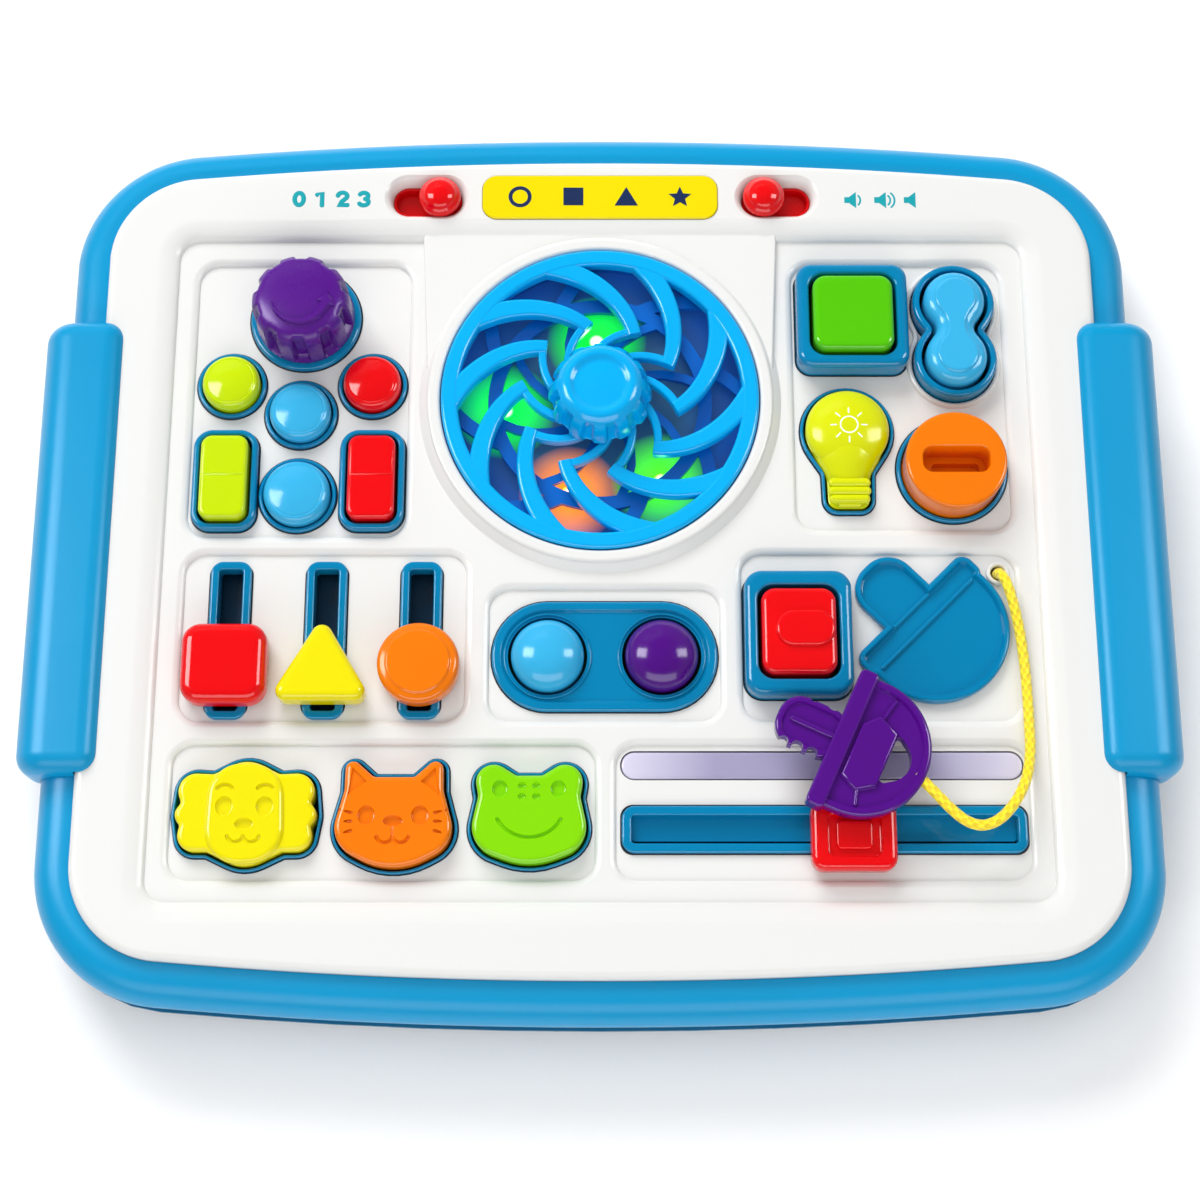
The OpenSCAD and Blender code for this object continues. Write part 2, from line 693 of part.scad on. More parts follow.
// Bezel of a shaped outline: frame on the tray and sleeve through the panel
module shaped_bezel(circles, place, frame, height, edge, gap, steps = 5) {
    difference() {
        union() {
            pillow(circles, -frame, tray_z, tray_z + height, edge, place, 0, steps);
            slab(circles, -gap - sleeve_t, sleeve_z, tray_z + bite, steps);
        }
        slab(circles, -gap, sleeve_z - bite, tray_z + height + bite, steps);
    }
}

// Low flat bezel of a shaped outline
module flat_bezel(circles, steps = 5) {
    difference() {
        union() {
            slab(circles, -shape_flange, tray_z, tray_z + bezel_h, steps);
            slab(circles, -slide_gap - sleeve_t, sleeve_z, tray_z + bite, steps);
        }
        slab(circles, -slide_gap, sleeve_z - bite, tray_z + bezel_h + bite, steps);
    }
}

// Low round bezel: flange on the tray and sleeve through the panel
module ring_bezel(place, r) {
    at(place)
        difference() {
            union() {
                translate([0, 0, tray_z])
                    cylinder(r = r + bezel_flange, h = bezel_h);
                translate([0, 0, sleeve_z])
                    cylinder(r = r + slide_gap + sleeve_t, h = tray_z + bite - sleeve_z);
            }
            translate([0, 0, sleeve_z - bite])
                cylinder(r = r + slide_gap, h = tray_z + bezel_h - sleeve_z + 2 * bite);
        }
}

// Round pressed cap with a rounded edge and a low crown
module round_cap(place, r, height, edge, crown) {
    top_z = tray_z + height;
    at(place)
        rotate_extrude()
            polygon(concat([[0, stem_z], [stem_r, stem_z], [stem_r, stop_z - stop_t],
                [r + stop_w, stop_z - stop_t], [r + stop_w, stop_z], [r, stop_z]],
                arc([r - edge, top_z - crown - edge], edge, 0, 80, 6),
                [[0, top_z]]));
}

// Rocker circles and the opening that it swings in
function rocker_c(place) = plate(place, rocker_w, rocker_l, 3.4);

function rocker_opening(place) =
    plate(place, rocker_w + 2 * slide_gap, rocker_l + 2 * swing_gap, 3.4 + slide_gap);

module cross_pin(place, length, r) {
    translate([place.x, place.y, rocker_z])
        rotate([0, 90, 0])
            cylinder(r = r, h = length, center = true);
}

module rocker(place) {
    pillow(rocker_c(place), 0, rocker_bottom_z, tray_z + rocker_h, 1.6, place, 0.6);
    cross_pin(place, rocker_w + 2 * slide_gap + 2 * sleeve_t - 0.1, pin_r);
    for (s = [-1, 1])
        translate([place.x, place.y + s * rocker_prong_y, prong_z])
            cylinder(r = stem_r, h = rocker_bottom_z - prong_z + bite);
}

module rocker_bezel(place) {
    opening = rocker_opening(place);
    difference() {
        union() {
            pillow(opening, -rocker_frame, tray_z, tray_z + rocker_bezel_h, 1.6, place);
            slab(opening, -sleeve_t, sleeve_z, tray_z + bite);
        }
        slab(opening, 0, sleeve_z - bite, tray_z + rocker_bezel_h + bite);
        cross_pin(place, rocker_w + 4 * rocker_frame, pin_r + shaft_gap);
    }
}

// Slider cap on a stem whose foot runs under the panel; the children give the cap
module slider_stem(place, w, l, low_z, foot_top_z, foot_x, foot_y) {
    slab(plate(place, w, l, min(w, l) / 2 - 0.2), 0, foot_top_z - bite, low_z + bite, 4);
    slab(plate(place, w + foot_x, l + foot_y, 1), 0, foot_top_z - foot_t, foot_top_z, 2);
}

// Section of the rim as [outwards, height]: a tube flattened against the shells, with a tongue between them
function rim_section() = concat(
    arc([rim_out, rim_z], rim_r, asin((flange_top_z - rim_z) / rim_r), acos((seat_gap - rim_out) / rim_r), 10),
    [[seat_gap, split_high_z], [-wall, split_high_z], [-wall, split_low_z], [seat_gap, split_low_z],
        [seat_gap, flange_top_z]]);

module panel_prism(out, z0, z1) {
    translate([0, 0, z0])
        linear_extrude(z1 - z0)
            polygon(outline(out));
}

// Tray cut: a rounded rectangle that widens towards the top
module tray_cut(box, slope, depth, r, top_z) {
    mid = [(box[0] + box[1]) / 2, (box[2] + box[3]) / 2];
    w = box[1] - box[0];
    l = box[3] - box[2];
    over = 1 + bite / depth;
    loft([lifted(belt(plate(mid, w, l, r)), top_z - depth), lifted(belt(plate(mid, w, l, r), -slope * over), top_z + bite)],
        [mid.x, mid.y, top_z - depth], [mid.x, mid.y, top_z + bite]);
}

// Points of a curved bar whose middle line goes from one polar place to another
function curved_bar(r0, a0, w0, r1, a1, w1, steps) = concat(
    [for (k = [0 : steps]) let (t = k / steps) bar_point(r0, a0, w0, r1, a1, w1, t, 1)],
    [for (k = [steps : -1 : 0]) let (t = k / steps) bar_point(r0, a0, w0, r1, a1, w1, t, -1)]);

function polar(r, a) = [r * cos(a), r * sin(a)];

function bar_point(r0, a0, w0, r1, a1, w1, t, side) =
    let (p = polar(r0 + (r1 - r0) * t, a0 + (a1 - a0) * t),
         q = polar(r0 + (r1 - r0) * (t + 0.01), a0 + (a1 - a0) * (t + 0.01)),
         d = (q - p) / norm(q - p),
         w = w0 + (w1 - w0) * t)
    p + side * w / 2 * [-d.y, d.x];

module rear_cover() color(blue) {
    difference() {
        union() {
            loft([lifted(outline(-2), base_z), lifted(outline(8), base_z + 4), lifted(outline(12), base_z + 7),
                lifted(outline(12), flange_top_z)], [0, 0, base_z], [0, 0, flange_top_z]);
            panel_prism(0, flange_top_z - bite, split_low_z);
        }
        difference() {
            union() {
                loft([lifted(outline(-4.6), floor_z), lifted(outline(6.4), flange_top_z - wall)],
                    [0, 0, floor_z], [0, 0, flange_top_z - wall]);
                panel_prism(-wall, flange_top_z - wall - bite, split_low_z + bite);
            }
            for (p = case_screw_places)
                translate([p.x, p.y, base_z])
                    cylinder(r = boss_r + 0.6, h = boss_joint_z - base_z);
            for (p = board_posts)
                translate([p.x, p.y, base_z])
                    cylinder(r = boss_r, h = board_z - base_z);
            translate([spinner_at.x, spinner_at.y, (base_z + box_top_z + box_wall) / 2])
                cube([box_l + 2 * box_wall, box_w + 2 * box_wall, box_top_z + box_wall - base_z], center = true);
            translate([door_screw_at.x, door_screw_at.y, base_z])
                cylinder(r = boss_r, h = board_z - base_z - bite);
        }
        translate([spinner_at.x, spinner_at.y, (base_z + box_top_z) / 2 - bite])
            cube([box_l, box_w, box_top_z - base_z + 2 * bite], center = true);
        translate([spinner_at.x, door_y, base_z])
            cube([door_w, door_l, 2 * door_t], center = true);
        translate([door_screw_at.x, door_screw_at.y, base_z - bite])
            cylinder(r = screw_r + shaft_gap, h = board_z - base_z - bite);
        for (p = case_screw_places) {
            translate([p.x, p.y, base_z - bite])
                cylinder(r = screw_r + 0.2, h = boss_joint_z);
            translate([p.x, p.y, base_z - bite])
                cylinder(r = screw_head_r + 0.3, h = screw_head_t + 0.6 + bite);
        }
        for (p = board_posts)
            translate([p.x, p.y, floor_z])
                cylinder(r = screw_r + shaft_gap, h = board_z);
        for (ring = [1 : 3], k = [1 : 6 * ring])
            at(speaker_at + polar(speaker_r / 4 * ring, 60 / ring * k))
                translate([0, 0, base_z - bite])
                    cylinder(r = 1.1, h = wall + 2 * bite);
    }
}

module front_panel() color(white) {
    block_r = spinner_r + block_frame;
    recess_box = [-recess_w / 2, recess_w / 2, recess_y - recess_l / 2, recess_y + recess_l / 2];
    recess_far = recess_box[3] + recess_slope / 2;
    trays = [buttons_tray, shapes_tray, slider_tray, dome_tray, key_well_tray, animal_tray, bar_tray];
    deck_x = max(recess_w / 2 + recess_slope, tray_slope + max([for (t = trays) max(-t[0], t[1])])) + wall;
    hollow = plate([0, recess_y], 2 * deck_x, recess_l + 2 * recess_slope + 2 * wall, tray_r + recess_slope + wall);
    difference() {
        union() {
            difference() {
                loft(concat([lifted(outline(0), split_high_z)], [for (a = [0, 30, 60, 90])
                    lifted(outline(-panel_edge * (1 - cos(a))), face_z - panel_edge * (1 - sin(a)))]),
                    [0, 0, split_high_z], [0, 0, face_z]);
                panel_prism(-wall, split_high_z - bite, deck_z);
                translate([0, 0, deck_z - bite])
                    linear_extrude(face_z - wall - deck_z + bite)
                        difference() {
                            polygon(outline(-wall));
                            polygon(belt(hollow));
                        }
                tray_cut(recess_box, recess_slope, recess_d, tray_r, face_z);
            }
            translate([spinner_at.x - block_r, spinner_at.y, recess_z - bite])
                cube([2 * block_r, recess_far - spinner_at.y, block_h + bite]);
            translate([spinner_at.x, spinner_at.y, recess_z - bite])
                cylinder(r1 = block_r + 2 * (block_h + bite) / block_h, r2 = block_r, h = block_h + bite);
            for (p = case_screw_places)
                translate([p.x, p.y, boss_joint_z])
                    cylinder(r = boss_r, h = face_z - wall + bite / 2 - boss_joint_z);
            for (p = [mode_at, volume_at])
                slab(plate(p, header_l + 2 * header_boss, header_w + 2 * header_boss, header_w / 2 + header_boss - 0.1),
                    0, header_low_z, face_z - wall + bite / 2);
        }
        for (t = trays) {
            tray_cut(t, tray_slope, tray_d, tray_r, recess_z);
            slab(plate([t[0] + t[1], t[2] + t[3]] / 2, t[1] - t[0], t[3] - t[2], tray_r), -tray_slope,
                recess_z + bite / 2, face_z + bite);
        }
        translate([spinner_at.x, spinner_at.y, deck_z - bite])
            cylinder(r = spinner_r + slide_gap, h = face_z - deck_z + 2 * bite);
        for (c = round_caps)
            panel_hole(c[0], c[1] + slide_gap + sleeve_t);
        for (p = dome_places)
            panel_hole(p, dome_r + slide_gap + sleeve_t);
        panel_hole(knob_at, bush_r);
        panel_hole(lock_at, lock_r + slide_gap + sleeve_t);
        panel_hole(eyelet_at, eyelet_r - 0.5);
        for (c = pressed_shapes)
            slab(c[0], -slide_gap - sleeve_t - seat_gap, deck_z - bite, tray_z + bite, c[1]);
        slab(peanut_c, -swing_gap - sleeve_t - seat_gap, deck_z - bite, tray_z + bite);
        for (p = rocker_places)
            slab(rocker_opening(p), -sleeve_t - seat_gap, deck_z - bite, tray_z + bite);
        for (x = track_x)
            slab(plate([x, track_y], track_slot_w, slot_len, 1), -sleeve_t - seat_gap, deck_z - bite, tray_z + bite, 2);
        slab(plate(long_at, long_slot_l, long_slot_w, 1), -sleeve_t - seat_gap, deck_z - bite, tray_z + bite, 2);
        slab(light_bar_c(), -seat_gap, deck_z - bite, tray_z + bite);
        for (p = [mode_at, volume_at]) {
            slab(header_recess_c(p), 0, well_z, face_z + bite);
            slab(well_c(p), -seat_gap, header_low_z - bite, well_z + bite);
        }
        slab(label_c(), -seat_gap, face_z - label_t / 2, face_z + bite);
        for (p = case_screw_places)
            translate([p.x, p.y, boss_joint_z - bite])
                cylinder(r = screw_r + shaft_gap, h = face_z - wall - boss_joint_z);
    }
}

module panel_hole(place, r) {
    translate([place.x, place.y, deck_z - bite])
        cylinder(r = r + seat_gap, h = tray_z - deck_z + 2 * bite);
}

function light_bar_c() = plate(light_bar_at, light_bar_l, light_bar_w, light_bar_w / 2 - 0.1);

function header_recess_c(place) = plate(place, header_l, header_w, header_w / 2 - 0.1);

function well_c(place) = plate(place, well_l, well_w, well_w / 2 - 0.1);

function label_c() = plate(label_at, label_l, label_w, 4.5);

module rim_bumper() color(blue)
    hoop([for (p = rim_section()) lifted(outline(p[0]), p[1])]);

// Side handle: a rounded bar that hooks over the rim and the panel's edge
module handle() {
    out_x = panel_w / 2 + handle_out;
    low_z = flange_top_z + 0.2;
    high_z = face_z + handle_rise;
    mid = [out_x - handle_w / 2, (low_z + high_z) / 2];
    section = plate(mid, handle_w, high_z - low_z, handle_r);
    end_r = handle_r - 1;
    turns = [0, 30, 60, 90];
    stations = concat(
        [for (a = turns) [end_r * (1 - cos(a)) - handle_l / 2, end_r * (1 - sin(a))]],
        [for (a = -turns) [handle_l / 2 - end_r * (1 - cos(90 + a)), end_r * (1 - sin(90 + a))]]);
    difference() {
        translate([0, handle_y, 0])
            rotate([90, 0, 0])
                loft([for (s = stations) lifted(belt(section, s[1]), s[0])],
                    [mid.x, mid.y, -handle_l / 2], [mid.x, mid.y, handle_l / 2]);
        translate([panel_w / 2 + rim_out, handle_y, rim_z])
            rotate([90, 0, 0])
                cylinder(r = rim_r + seat_gap, h = handle_l + 2 * bite, center = true);
        translate([0, handle_y - handle_l / 2 - bite, 0])
            cube([panel_w / 2 + seat_gap, handle_l + 2 * bite, face_z + seat_gap]);
    }
}

module left_handle() color(blue)
    mirror([1, 0, 0])
        handle();

module right_handle() color(blue)
    handle();

module rubber_feet() color("#2b2d30")
    for (p = foot_places)
        at(p)
            cylinder(r1 = foot_r - 0.4, r2 = foot_r, h = foot_h);

module battery_door() color(blue)
    difference() {
        union() {
            translate([spinner_at.x, door_y, base_z + door_t / 2])
                cube([door_w - 2 * slide_gap, door_l - 2 * slide_gap, door_t], center = true);
            translate([spinner_at.x, spinner_at.y, base_z + wall / 2])
                cube([box_l - 2 * slide_gap, box_w - 2 * slide_gap, wall], center = true);
        }
        translate([door_screw_at.x, door_screw_at.y, base_z - bite])
            cylinder(r = screw_r + 0.2, h = wall + 2 * bite);
        translate([door_screw_at.x, door_screw_at.y, base_z - bite])
            cylinder(r = screw_head_r + 0.3, h = bite + door_t / 2);
    }

module battery_cells() color("#3d8a57")
    for (k = [0 : cell_count - 1])
        translate([spinner_at.x - cell_l / 2, spinner_at.y + (k - (cell_count - 1) / 2) * cell_pitch, cell_z])
            rotate([0, 90, 0]) {
                cylinder(r = cell_d / 2, h = cell_l - 1.4);
                cylinder(r = 2.7, h = cell_l);
            }

module battery_contacts() color(steel)
    for (s = [-1, 1], k = [0 : cell_count - 1])
        translate([spinner_at.x + s * (box_l / 2 - 1), spinner_at.y + (k - (cell_count - 1) / 2) * cell_pitch, cell_z]) {
            cube([1, cell_d - 4, cell_d - 3], center = true);
            translate([s > 0 ? -1.2 : 0, 0, 0])
                rotate([0, 90, 0])
                    cylinder(r1 = s > 0 ? 2 : 4, r2 = s > 0 ? 4 : 2, h = 1.2);
        }

module case_screws() color(steel) {
    for (p = case_screw_places)
        translate([p.x, p.y, base_z + 0.6]) {
            screw_head(screw_head_t);
            cylinder(r = screw_r, h = 22);
        }
    for (p = board_posts)
        translate([p.x, p.y, board_top_z]) {
            screw_head(screw_head_t);
            translate([0, 0, -6])
                cylinder(r = screw_r, h = 7);
        }
    translate([door_screw_at.x, door_screw_at.y, base_z + door_t / 2 - door_head_t]) {
        screw_head(door_head_t);
        cylinder(r = screw_r, h = 7);
    }
}

module screw_head(t) {
    cylinder(r = screw_head_r, h = t);
}

module main_board() color("#2f7d4f")
    translate([0, 0, board_z])
        linear_extrude(board_t)
            difference() {
                union() {
                    translate([-board_w / 2, board_near_y])
                        square([board_w, board_far_y - board_near_y]);
                    translate([-70, board_far_y - bite])
                        square([140, 22]);
                }
                translate([spinner_at.x - box_l / 2 - box_wall - 1, spinner_at.y - box_w / 2 - box_wall - 1])
                    square([box_l + 2 * box_wall + 2, box_w + 2 * box_wall + 2]);
                for (p = board_posts)
                    translate(p)
                        circle(r = screw_r + 0.2);
            }

module tact_switches() color("#34373b") {
    body = 6;
    for (p = concat(stem_places, prong_places))
        translate([p.x, p.y, board_top_z]) {
            translate([-body / 2, -body / 2, 0])
                cube([body, body, switch_body_h]);
            cylinder(r = 1.7, h = switch_top_z - board_top_z);
        }
    for (p = [knob_at, lock_at])
        translate([p.x, p.y, board_top_z])
            difference() {
                translate([-6.5, -6.5, 0])
                    cube([13, 13, encoder_h]);
                translate([0, 0, 1.6])
                    cylinder(r = shaft_r + shaft_gap, h = encoder_h);
            }
}

module light_emitters() {
    for (k = [0 : len(led_places) - 1])
        color(["#62e84a", "#4fe07a", "#a8f03a", "#ff9a2a"][k])
            translate([spinner_at.x + led_places[k].x, spinner_at.y + led_places[k].y, grille_z])
                rotate_extrude()
                    polygon(concat([[0, 0], [led_r, 0], [led_r, led_base]], arc([0, led_base], led_dome_r, 0, 90, 4)));
    color("#f0eefc")
        for (k = [0 : bar_led_count - 1])
            translate([light_bar_at.x + (k - (bar_led_count - 1) / 2) * light_bar_l / bar_led_count - 1.75,
                    light_bar_at.y - 1.75, board_top_z])
                cube([3.5, 3.5, 2]);
}

module speaker() color("#3a3c40")
    translate([speaker_at.x, speaker_at.y, floor_z])
        rotate_extrude()
            polygon([[0, 2], [speaker_r - 8, 1], [speaker_r - 2, 0.6], [speaker_r - 2, 0], [speaker_r, 0],
                [speaker_r, 2], [speaker_r * 0.6, speaker_h - 2], [speaker_r * 0.6, speaker_h], [0, speaker_h]]);

module mode_label() color(yellow)
    slab(label_c(), 0, face_z - label_t / 2, face_z + label_t / 2);

module light_bowl() color("#c9d3da")
    translate([spinner_at.x, spinner_at.y, bowl_z])
        rotate_extrude()
            polygon([[0, 0], [bowl_r, 0], [bowl_r, deck_z - bowl_z], [bowl_r - 2, deck_z - bowl_z],
                [bowl_r - 2, bowl_t], [0, bowl_t]]);

module light_grille() color("#0b6fd0")
    translate([spinner_at.x, spinner_at.y, 0]) {
        rim = spinner_r - 0.4;
        hub = 7;
        band_r = 31;
        translate([0, 0, grille_z])
            linear_extrude(grille_top_z - grille_z)
                difference() {
                    circle(r = rim);
                    circle(r = rim - 2.4);
                }
        translate([0, 0, grille_top_z - 2])
            linear_extrude(2) {
                difference() {
                    circle(r = band_r + 2);
                    circle(r = band_r - 2);
                }
                for (k = [0 : 7]) {
                    polygon(curved_bar(rim - 1, 45 * k, 4, band_r, 45 * k + 24, 4, 5));
                    polygon(curved_bar(band_r, 45 * k + 10, 2.6, hub - bite, 45 * k + 50, 2.6, 5));
                }
                circle(r = hub);
            }
        translate([0, 0, grille_z])
            cylinder(r = hub, h = spinner_low_z - slide_gap - grille_z);
        translate([0, 0, grille_top_z - bite])
            cylinder(r = shaft_r, h = spin_pin_z - grille_top_z + bite);
    }

module spinner_wheel() color("#12a6f5")
    translate([spinner_at.x, spinner_at.y, 0])
        difference() {
            union() {
                translate([0, 0, spinner_low_z])
                    cylinder(r = spinner_r, h = spinner_t);
                translate([0, 0, spinner_low_z])
                    cylinder(r = hub_r, h = spinner_t);
            }
            translate([0, 0, spinner_low_z - bite])
                linear_extrude(spinner_t + 2 * bite)
                    difference() {
                        circle(r = spinner_r - spinner_ring);
                        circle(r = hub_r);
                        for (k = [0 : arm_count - 1]) {
                            a = 32.8 + 360 / arm_count * k;
                            polygon(curved_bar(spinner_r - spinner_ring + bite, a + 2, arm_w,
                                arm_inner_r, a - arm_sweep, arm_w * 0.72, 7));
                            polygon(curved_bar(arm_inner_r + 1.6, a - arm_sweep - 1, spoke_w,
                                hub_r - bite, a - arm_sweep + 44, spoke_w, 6));
                        }
                    }
            translate([0, 0, spinner_low_z - bite])
                cylinder(r = shaft_r + shaft_gap, h = spinner_t + 2 * bite);
        }

module spinner_knob() color("#0f8fe6")
    translate([spinner_at.x, spinner_at.y, 0])
        difference() {
            union() {
                translate([0, 0, spinner_top_z])
                    rotate_extrude()
                        polygon(concat([[0, 0], [hub_r, 0], [spin_knob_r - 0.6, 2.4]],
                            arc([spin_knob_r - 4.2, spin_knob_z - spinner_top_z - 3], 3, 10, 90, 5),
                            [[7.6, spin_knob_z - spinner_top_z], [6.6, spin_knob_z - spinner_top_z - 0.8],
                                [0, spin_knob_z - spinner_top_z - 0.3]]));
                for (k = [0 : rib_count - 1])
                    rotate(360 / rib_count * k)
                        translate([spin_knob_r - 3.6, -1.8, spinner_top_z + 1.6])
                            cube([3.6, 3.6, 5.4]);
            }
            translate([0, 0, spinner_top_z - bite])
                cylinder(r = shaft_r + shaft_gap, h = spin_pin_z - spinner_top_z + bite + 0.3);
        }

module light_bar_lens() color("#b4aed2") {
    slab(light_bar_c(), 0, deck_z - bite / 2, tray_z + 0.6);
    slab(light_bar_c(), -1.4, deck_z - 1.4, deck_z);
}

module cord_eyelet() color(white)
    at(eyelet_at)
        difference() {
            union() {
                translate([0, 0, tray_z])
                    cylinder(r = eyelet_r, h = 1.4);
                translate([0, 0, deck_z - 0.4])
                    cylinder(r = eyelet_r - 0.5, h = tray_z + bite - deck_z);
            }
            translate([0, 0, eyelet_floor_z])
                cylinder(r = cord_d / 2 + 0.6, h = tray_z + 2 - eyelet_floor_z);
        }

// Ring of points round one place of a swept tube, square to its direction
function tube_ring(p, d, r, sides) =
    let (u = cross(d, abs(d.z) > 0.9 ? [0, 1, 0] : [0, 0, 1]), a = u / norm(u), b = cross(a, d))
    [for (k = [0 : sides - 1]) p + r * (cos(360 * k / sides) * a + sin(360 * k / sides) * b)];

function heading(route, i) =
    let (d = route[min(i + 1, len(route) - 1)] - route[max(i - 1, 0)])
    d / norm(d);

module key_cord() color("#f2c91a") {
    last = len(cord_route) - 1;
    loft([for (i = [last : -1 : 0]) tube_ring(cord_route[i], heading(cord_route, i), cord_d / 2, cord_sides)],
        cord_route[last], cord_route[0]);
}

// Coil of square wire standing between two heights
module coil(z0, z1, r) {
    per_turn = 8;
    steps = spring_turns * per_turn;
    half = wire_d / 2;
    rise = z1 - z0 - wire_d;
    rings = [for (k = [0 : steps])
        let (a = 360 * k / per_turn, z = z0 + half + rise * k / steps)
        [for (c = [[-1, -1], [1, -1], [1, 1], [-1, 1]])
            [(r + c.x * half) * cos(a), (r + c.x * half) * sin(a), z + c.y * half]]];
    loft(rings, (rings[0][0] + rings[0][2]) / 2, (rings[steps][0] + rings[steps][2]) / 2);
}

module return_springs() color(steel)
    for (p = stem_places)
        at(p)
            coil(board_top_z, stop_z - stop_t, spring_r);

module round_bezels() color(deep_blue) {
    for (c = round_caps)
        ring_bezel(c[0], c[1]);
    ring_bezel(lock_at, lock_r);
    at(knob_at)
        difference() {
            union() {
                translate([0, 0, tray_z])
                    cylinder(r = knob_ring_r, h = bezel_h);
                translate([0, 0, sleeve_z])
                    cylinder(r = bush_r, h = tray_z + bite - sleeve_z);
            }
            translate([0, 0, sleeve_z - bite])
                cylinder(r = shaft_r + shaft_gap, h = tray_z + bezel_h - sleeve_z + 2 * bite);
        }
}

module rocker_bezels() color(deep_blue)
    for (p = rocker_places)
        rocker_bezel(p);

module square_bezel() color(deep_blue)
    shaped_bezel(square_c, square_at, square_frame, square_bezel_h, 2.6, slide_gap);

module peanut_bezel() color(deep_blue)
    difference() {
        shaped_bezel(peanut_c, peanut_at, peanut_frame, peanut_bezel_h, 2, swing_gap);
        cross_pin(peanut_at, 4 * peanut_waist, pin_r + shaft_gap);
    }

module bulb_bezel() color(deep_blue)
    flat_bezel(bulb_c, 8);

module switch_bezel() color(deep_blue)
    shaped_bezel(switch_c, switch_at, switch_frame, switch_bezel_h, 2.6, slide_gap);

// Track with a lined slot; the slot is as wide and long as given
module track(place, w, l, slot_x, slot_y) {
    difference() {
        union() {
            slab(plate(place, w, l, 2.2), 0, tray_z, tray_z + track_h, 3);
            slab(plate(place, slot_x, slot_y, 1), -sleeve_t, sleeve_z, tray_z + bite, 2);
        }
        slab(plate(place, slot_x, slot_y, 1), 0, sleeve_z - bite, tray_z + track_h + bite, 2);
    }
}

module slider_tracks() color(deep_blue)
    for (x = track_x)
        track([x, track_y], track_w, track_l, track_slot_w, slot_len);

module long_track() color(deep_blue)
    track(long_at, long_l, long_w, long_slot_l, long_slot_w);

module dome_plate() color(deep_blue)
    difference() {
        union() {
            slab(plate(dome_at, dome_plate_l, dome_plate_w, dome_plate_w / 2 - 0.2), 0, tray_z, tray_z + bezel_h, 9);
            for (p = dome_places)
                translate([p.x, p.y, sleeve_z])
                    cylinder(r = dome_r + slide_gap + sleeve_t, h = tray_z + bite - sleeve_z);
        }
        for (p = dome_places)
            translate([p.x, p.y, sleeve_z - bite])
                cylinder(r = dome_r + slide_gap, h = tray_z + bezel_h - sleeve_z + 2 * bite);
    }

// Outline of the key, grown by a margin
module key_outline(grow) {
    for (c = [key_bow_c, key_blade_c, key_bar_c])
        polygon(belt(c, -grow));
}

module key_tray() color(deep_blue)
    translate([key_tray_at.x, key_tray_at.y, tray_z])
        rotate(key_tray_turn)
            difference() {
                linear_extrude(key_tray_h)
                    key_outline(key_tray_frame);
                translate([0, 0, 0.6])
                    linear_extrude(key_tray_h)
                        key_outline(0.3);
            }

module animal_bezels() color(deep_blue)
    for (c = [dog_c, cat_c, frog_c])
        flat_bezel(c, 4);

module switch_wells() color(red)
    for (p = [mode_at, volume_at])
        difference() {
            union() {
                slab(well_c(p), 0, header_low_z, well_floor_z);
                slab(well_c(p), -well_flange, header_low_z - 1.2, header_low_z);
            }
            slab(plate(p, header_slot_l, header_stem_w + 2 * slide_gap, 1), 0, header_low_z - 2, well_floor_z + bite, 2);
        }

module rotary_knob() color(purple)
    at(knob_at) {
        low_z = tray_z + bezel_h + slide_gap;
        top_z = tray_z + knob_h;
        difference() {
            translate([0, 0, low_z])
                rotate_extrude()
                    polygon(concat([[0, 0], [knob_r, 0], [knob_r - 0.4, top_z - low_z - 6.4]],
                        arc([knob_r - 4.6, top_z - low_z - 5.2], 3.6, 0, 70, 5),
                        [[6, top_z - low_z - 0.3], [0, top_z - low_z]]));
            for (k = [0 : flute_count - 1])
                rotate(360 / flute_count * k)
                    translate([knob_r + 1, 0, low_z - bite])
                        cylinder(r = flute_r, h = top_z - low_z - 4);
        }
        translate([0, 0, shaft_low_z])
            cylinder(r = shaft_r, h = low_z + bite - shaft_low_z);
    }

module lime_button() color(lime)
    round_cap(lime_button_at, small_button_r, button_h, button_edge, 0.8);

module red_button() color(red)
    round_cap(red_button_at, small_button_r, button_h, button_edge, 0.8);

module upper_blue_button() color(light_blue)
    round_cap(upper_button_at, upper_button_r, button_h, button_edge, 0.8);

module lower_blue_button() color(light_blue)
    round_cap(lower_button_at, lower_button_r, button_h, button_edge, 0.8);

module lime_rocker() color(lime)
    rocker(lime_rocker_at);

module red_rocker() color(red)
    rocker(red_rocker_at);

module square_button() color(green)
    shaped_cap(square_c, square_at, square_h, 1.8, 0.6);

module peanut_rocker() color(light_blue) {
    pillow(peanut_c, 0, rocker_bottom_z, tray_z + peanut_h, 2.6, peanut_at, 0.6);
    cross_pin(peanut_at, 2 * (peanut_waist + swing_gap + sleeve_t) - 0.1, pin_r);
    for (s = [-1, 1])
        translate([peanut_at.x, peanut_at.y + s * peanut_prong_y, prong_z])
            cylinder(r = stem_r, h = rocker_bottom_z - prong_z + bite);
}

module bulb_button() color(lime)
    shaped_cap(bulb_c, bulb_at, bulb_h, 2.8, 1.4, 8);

module lock_cylinder() color(orange)
    at(lock_at) {
        top_z = tray_z + lock_h;
        difference() {
            rotate_extrude()
                polygon(concat([[0, stop_z - stop_t], [lock_r + stop_w, stop_z - stop_t], [lock_r + stop_w, stop_z],
                    [lock_r, stop_z]], arc([lock_r - 1.2, top_z - 1.2], 1.2, 0, 90, 4), [[0, top_z]]));
            slab(plate([0, 0], slot_l, slot_w, 1.4), 0, top_z - slot_depth, top_z + bite, 3);
        }
        translate([0, 0, shaft_low_z])
            cylinder(r = shaft_r, h = stop_z - stop_t + bite / 2 - shaft_low_z);
    }

module slider_foot(x)
    slider_stem([x, slider_y], track_slot_w - 2 * slide_gap, stem_l, slider_low_z, stop_z, foot_w, 0);

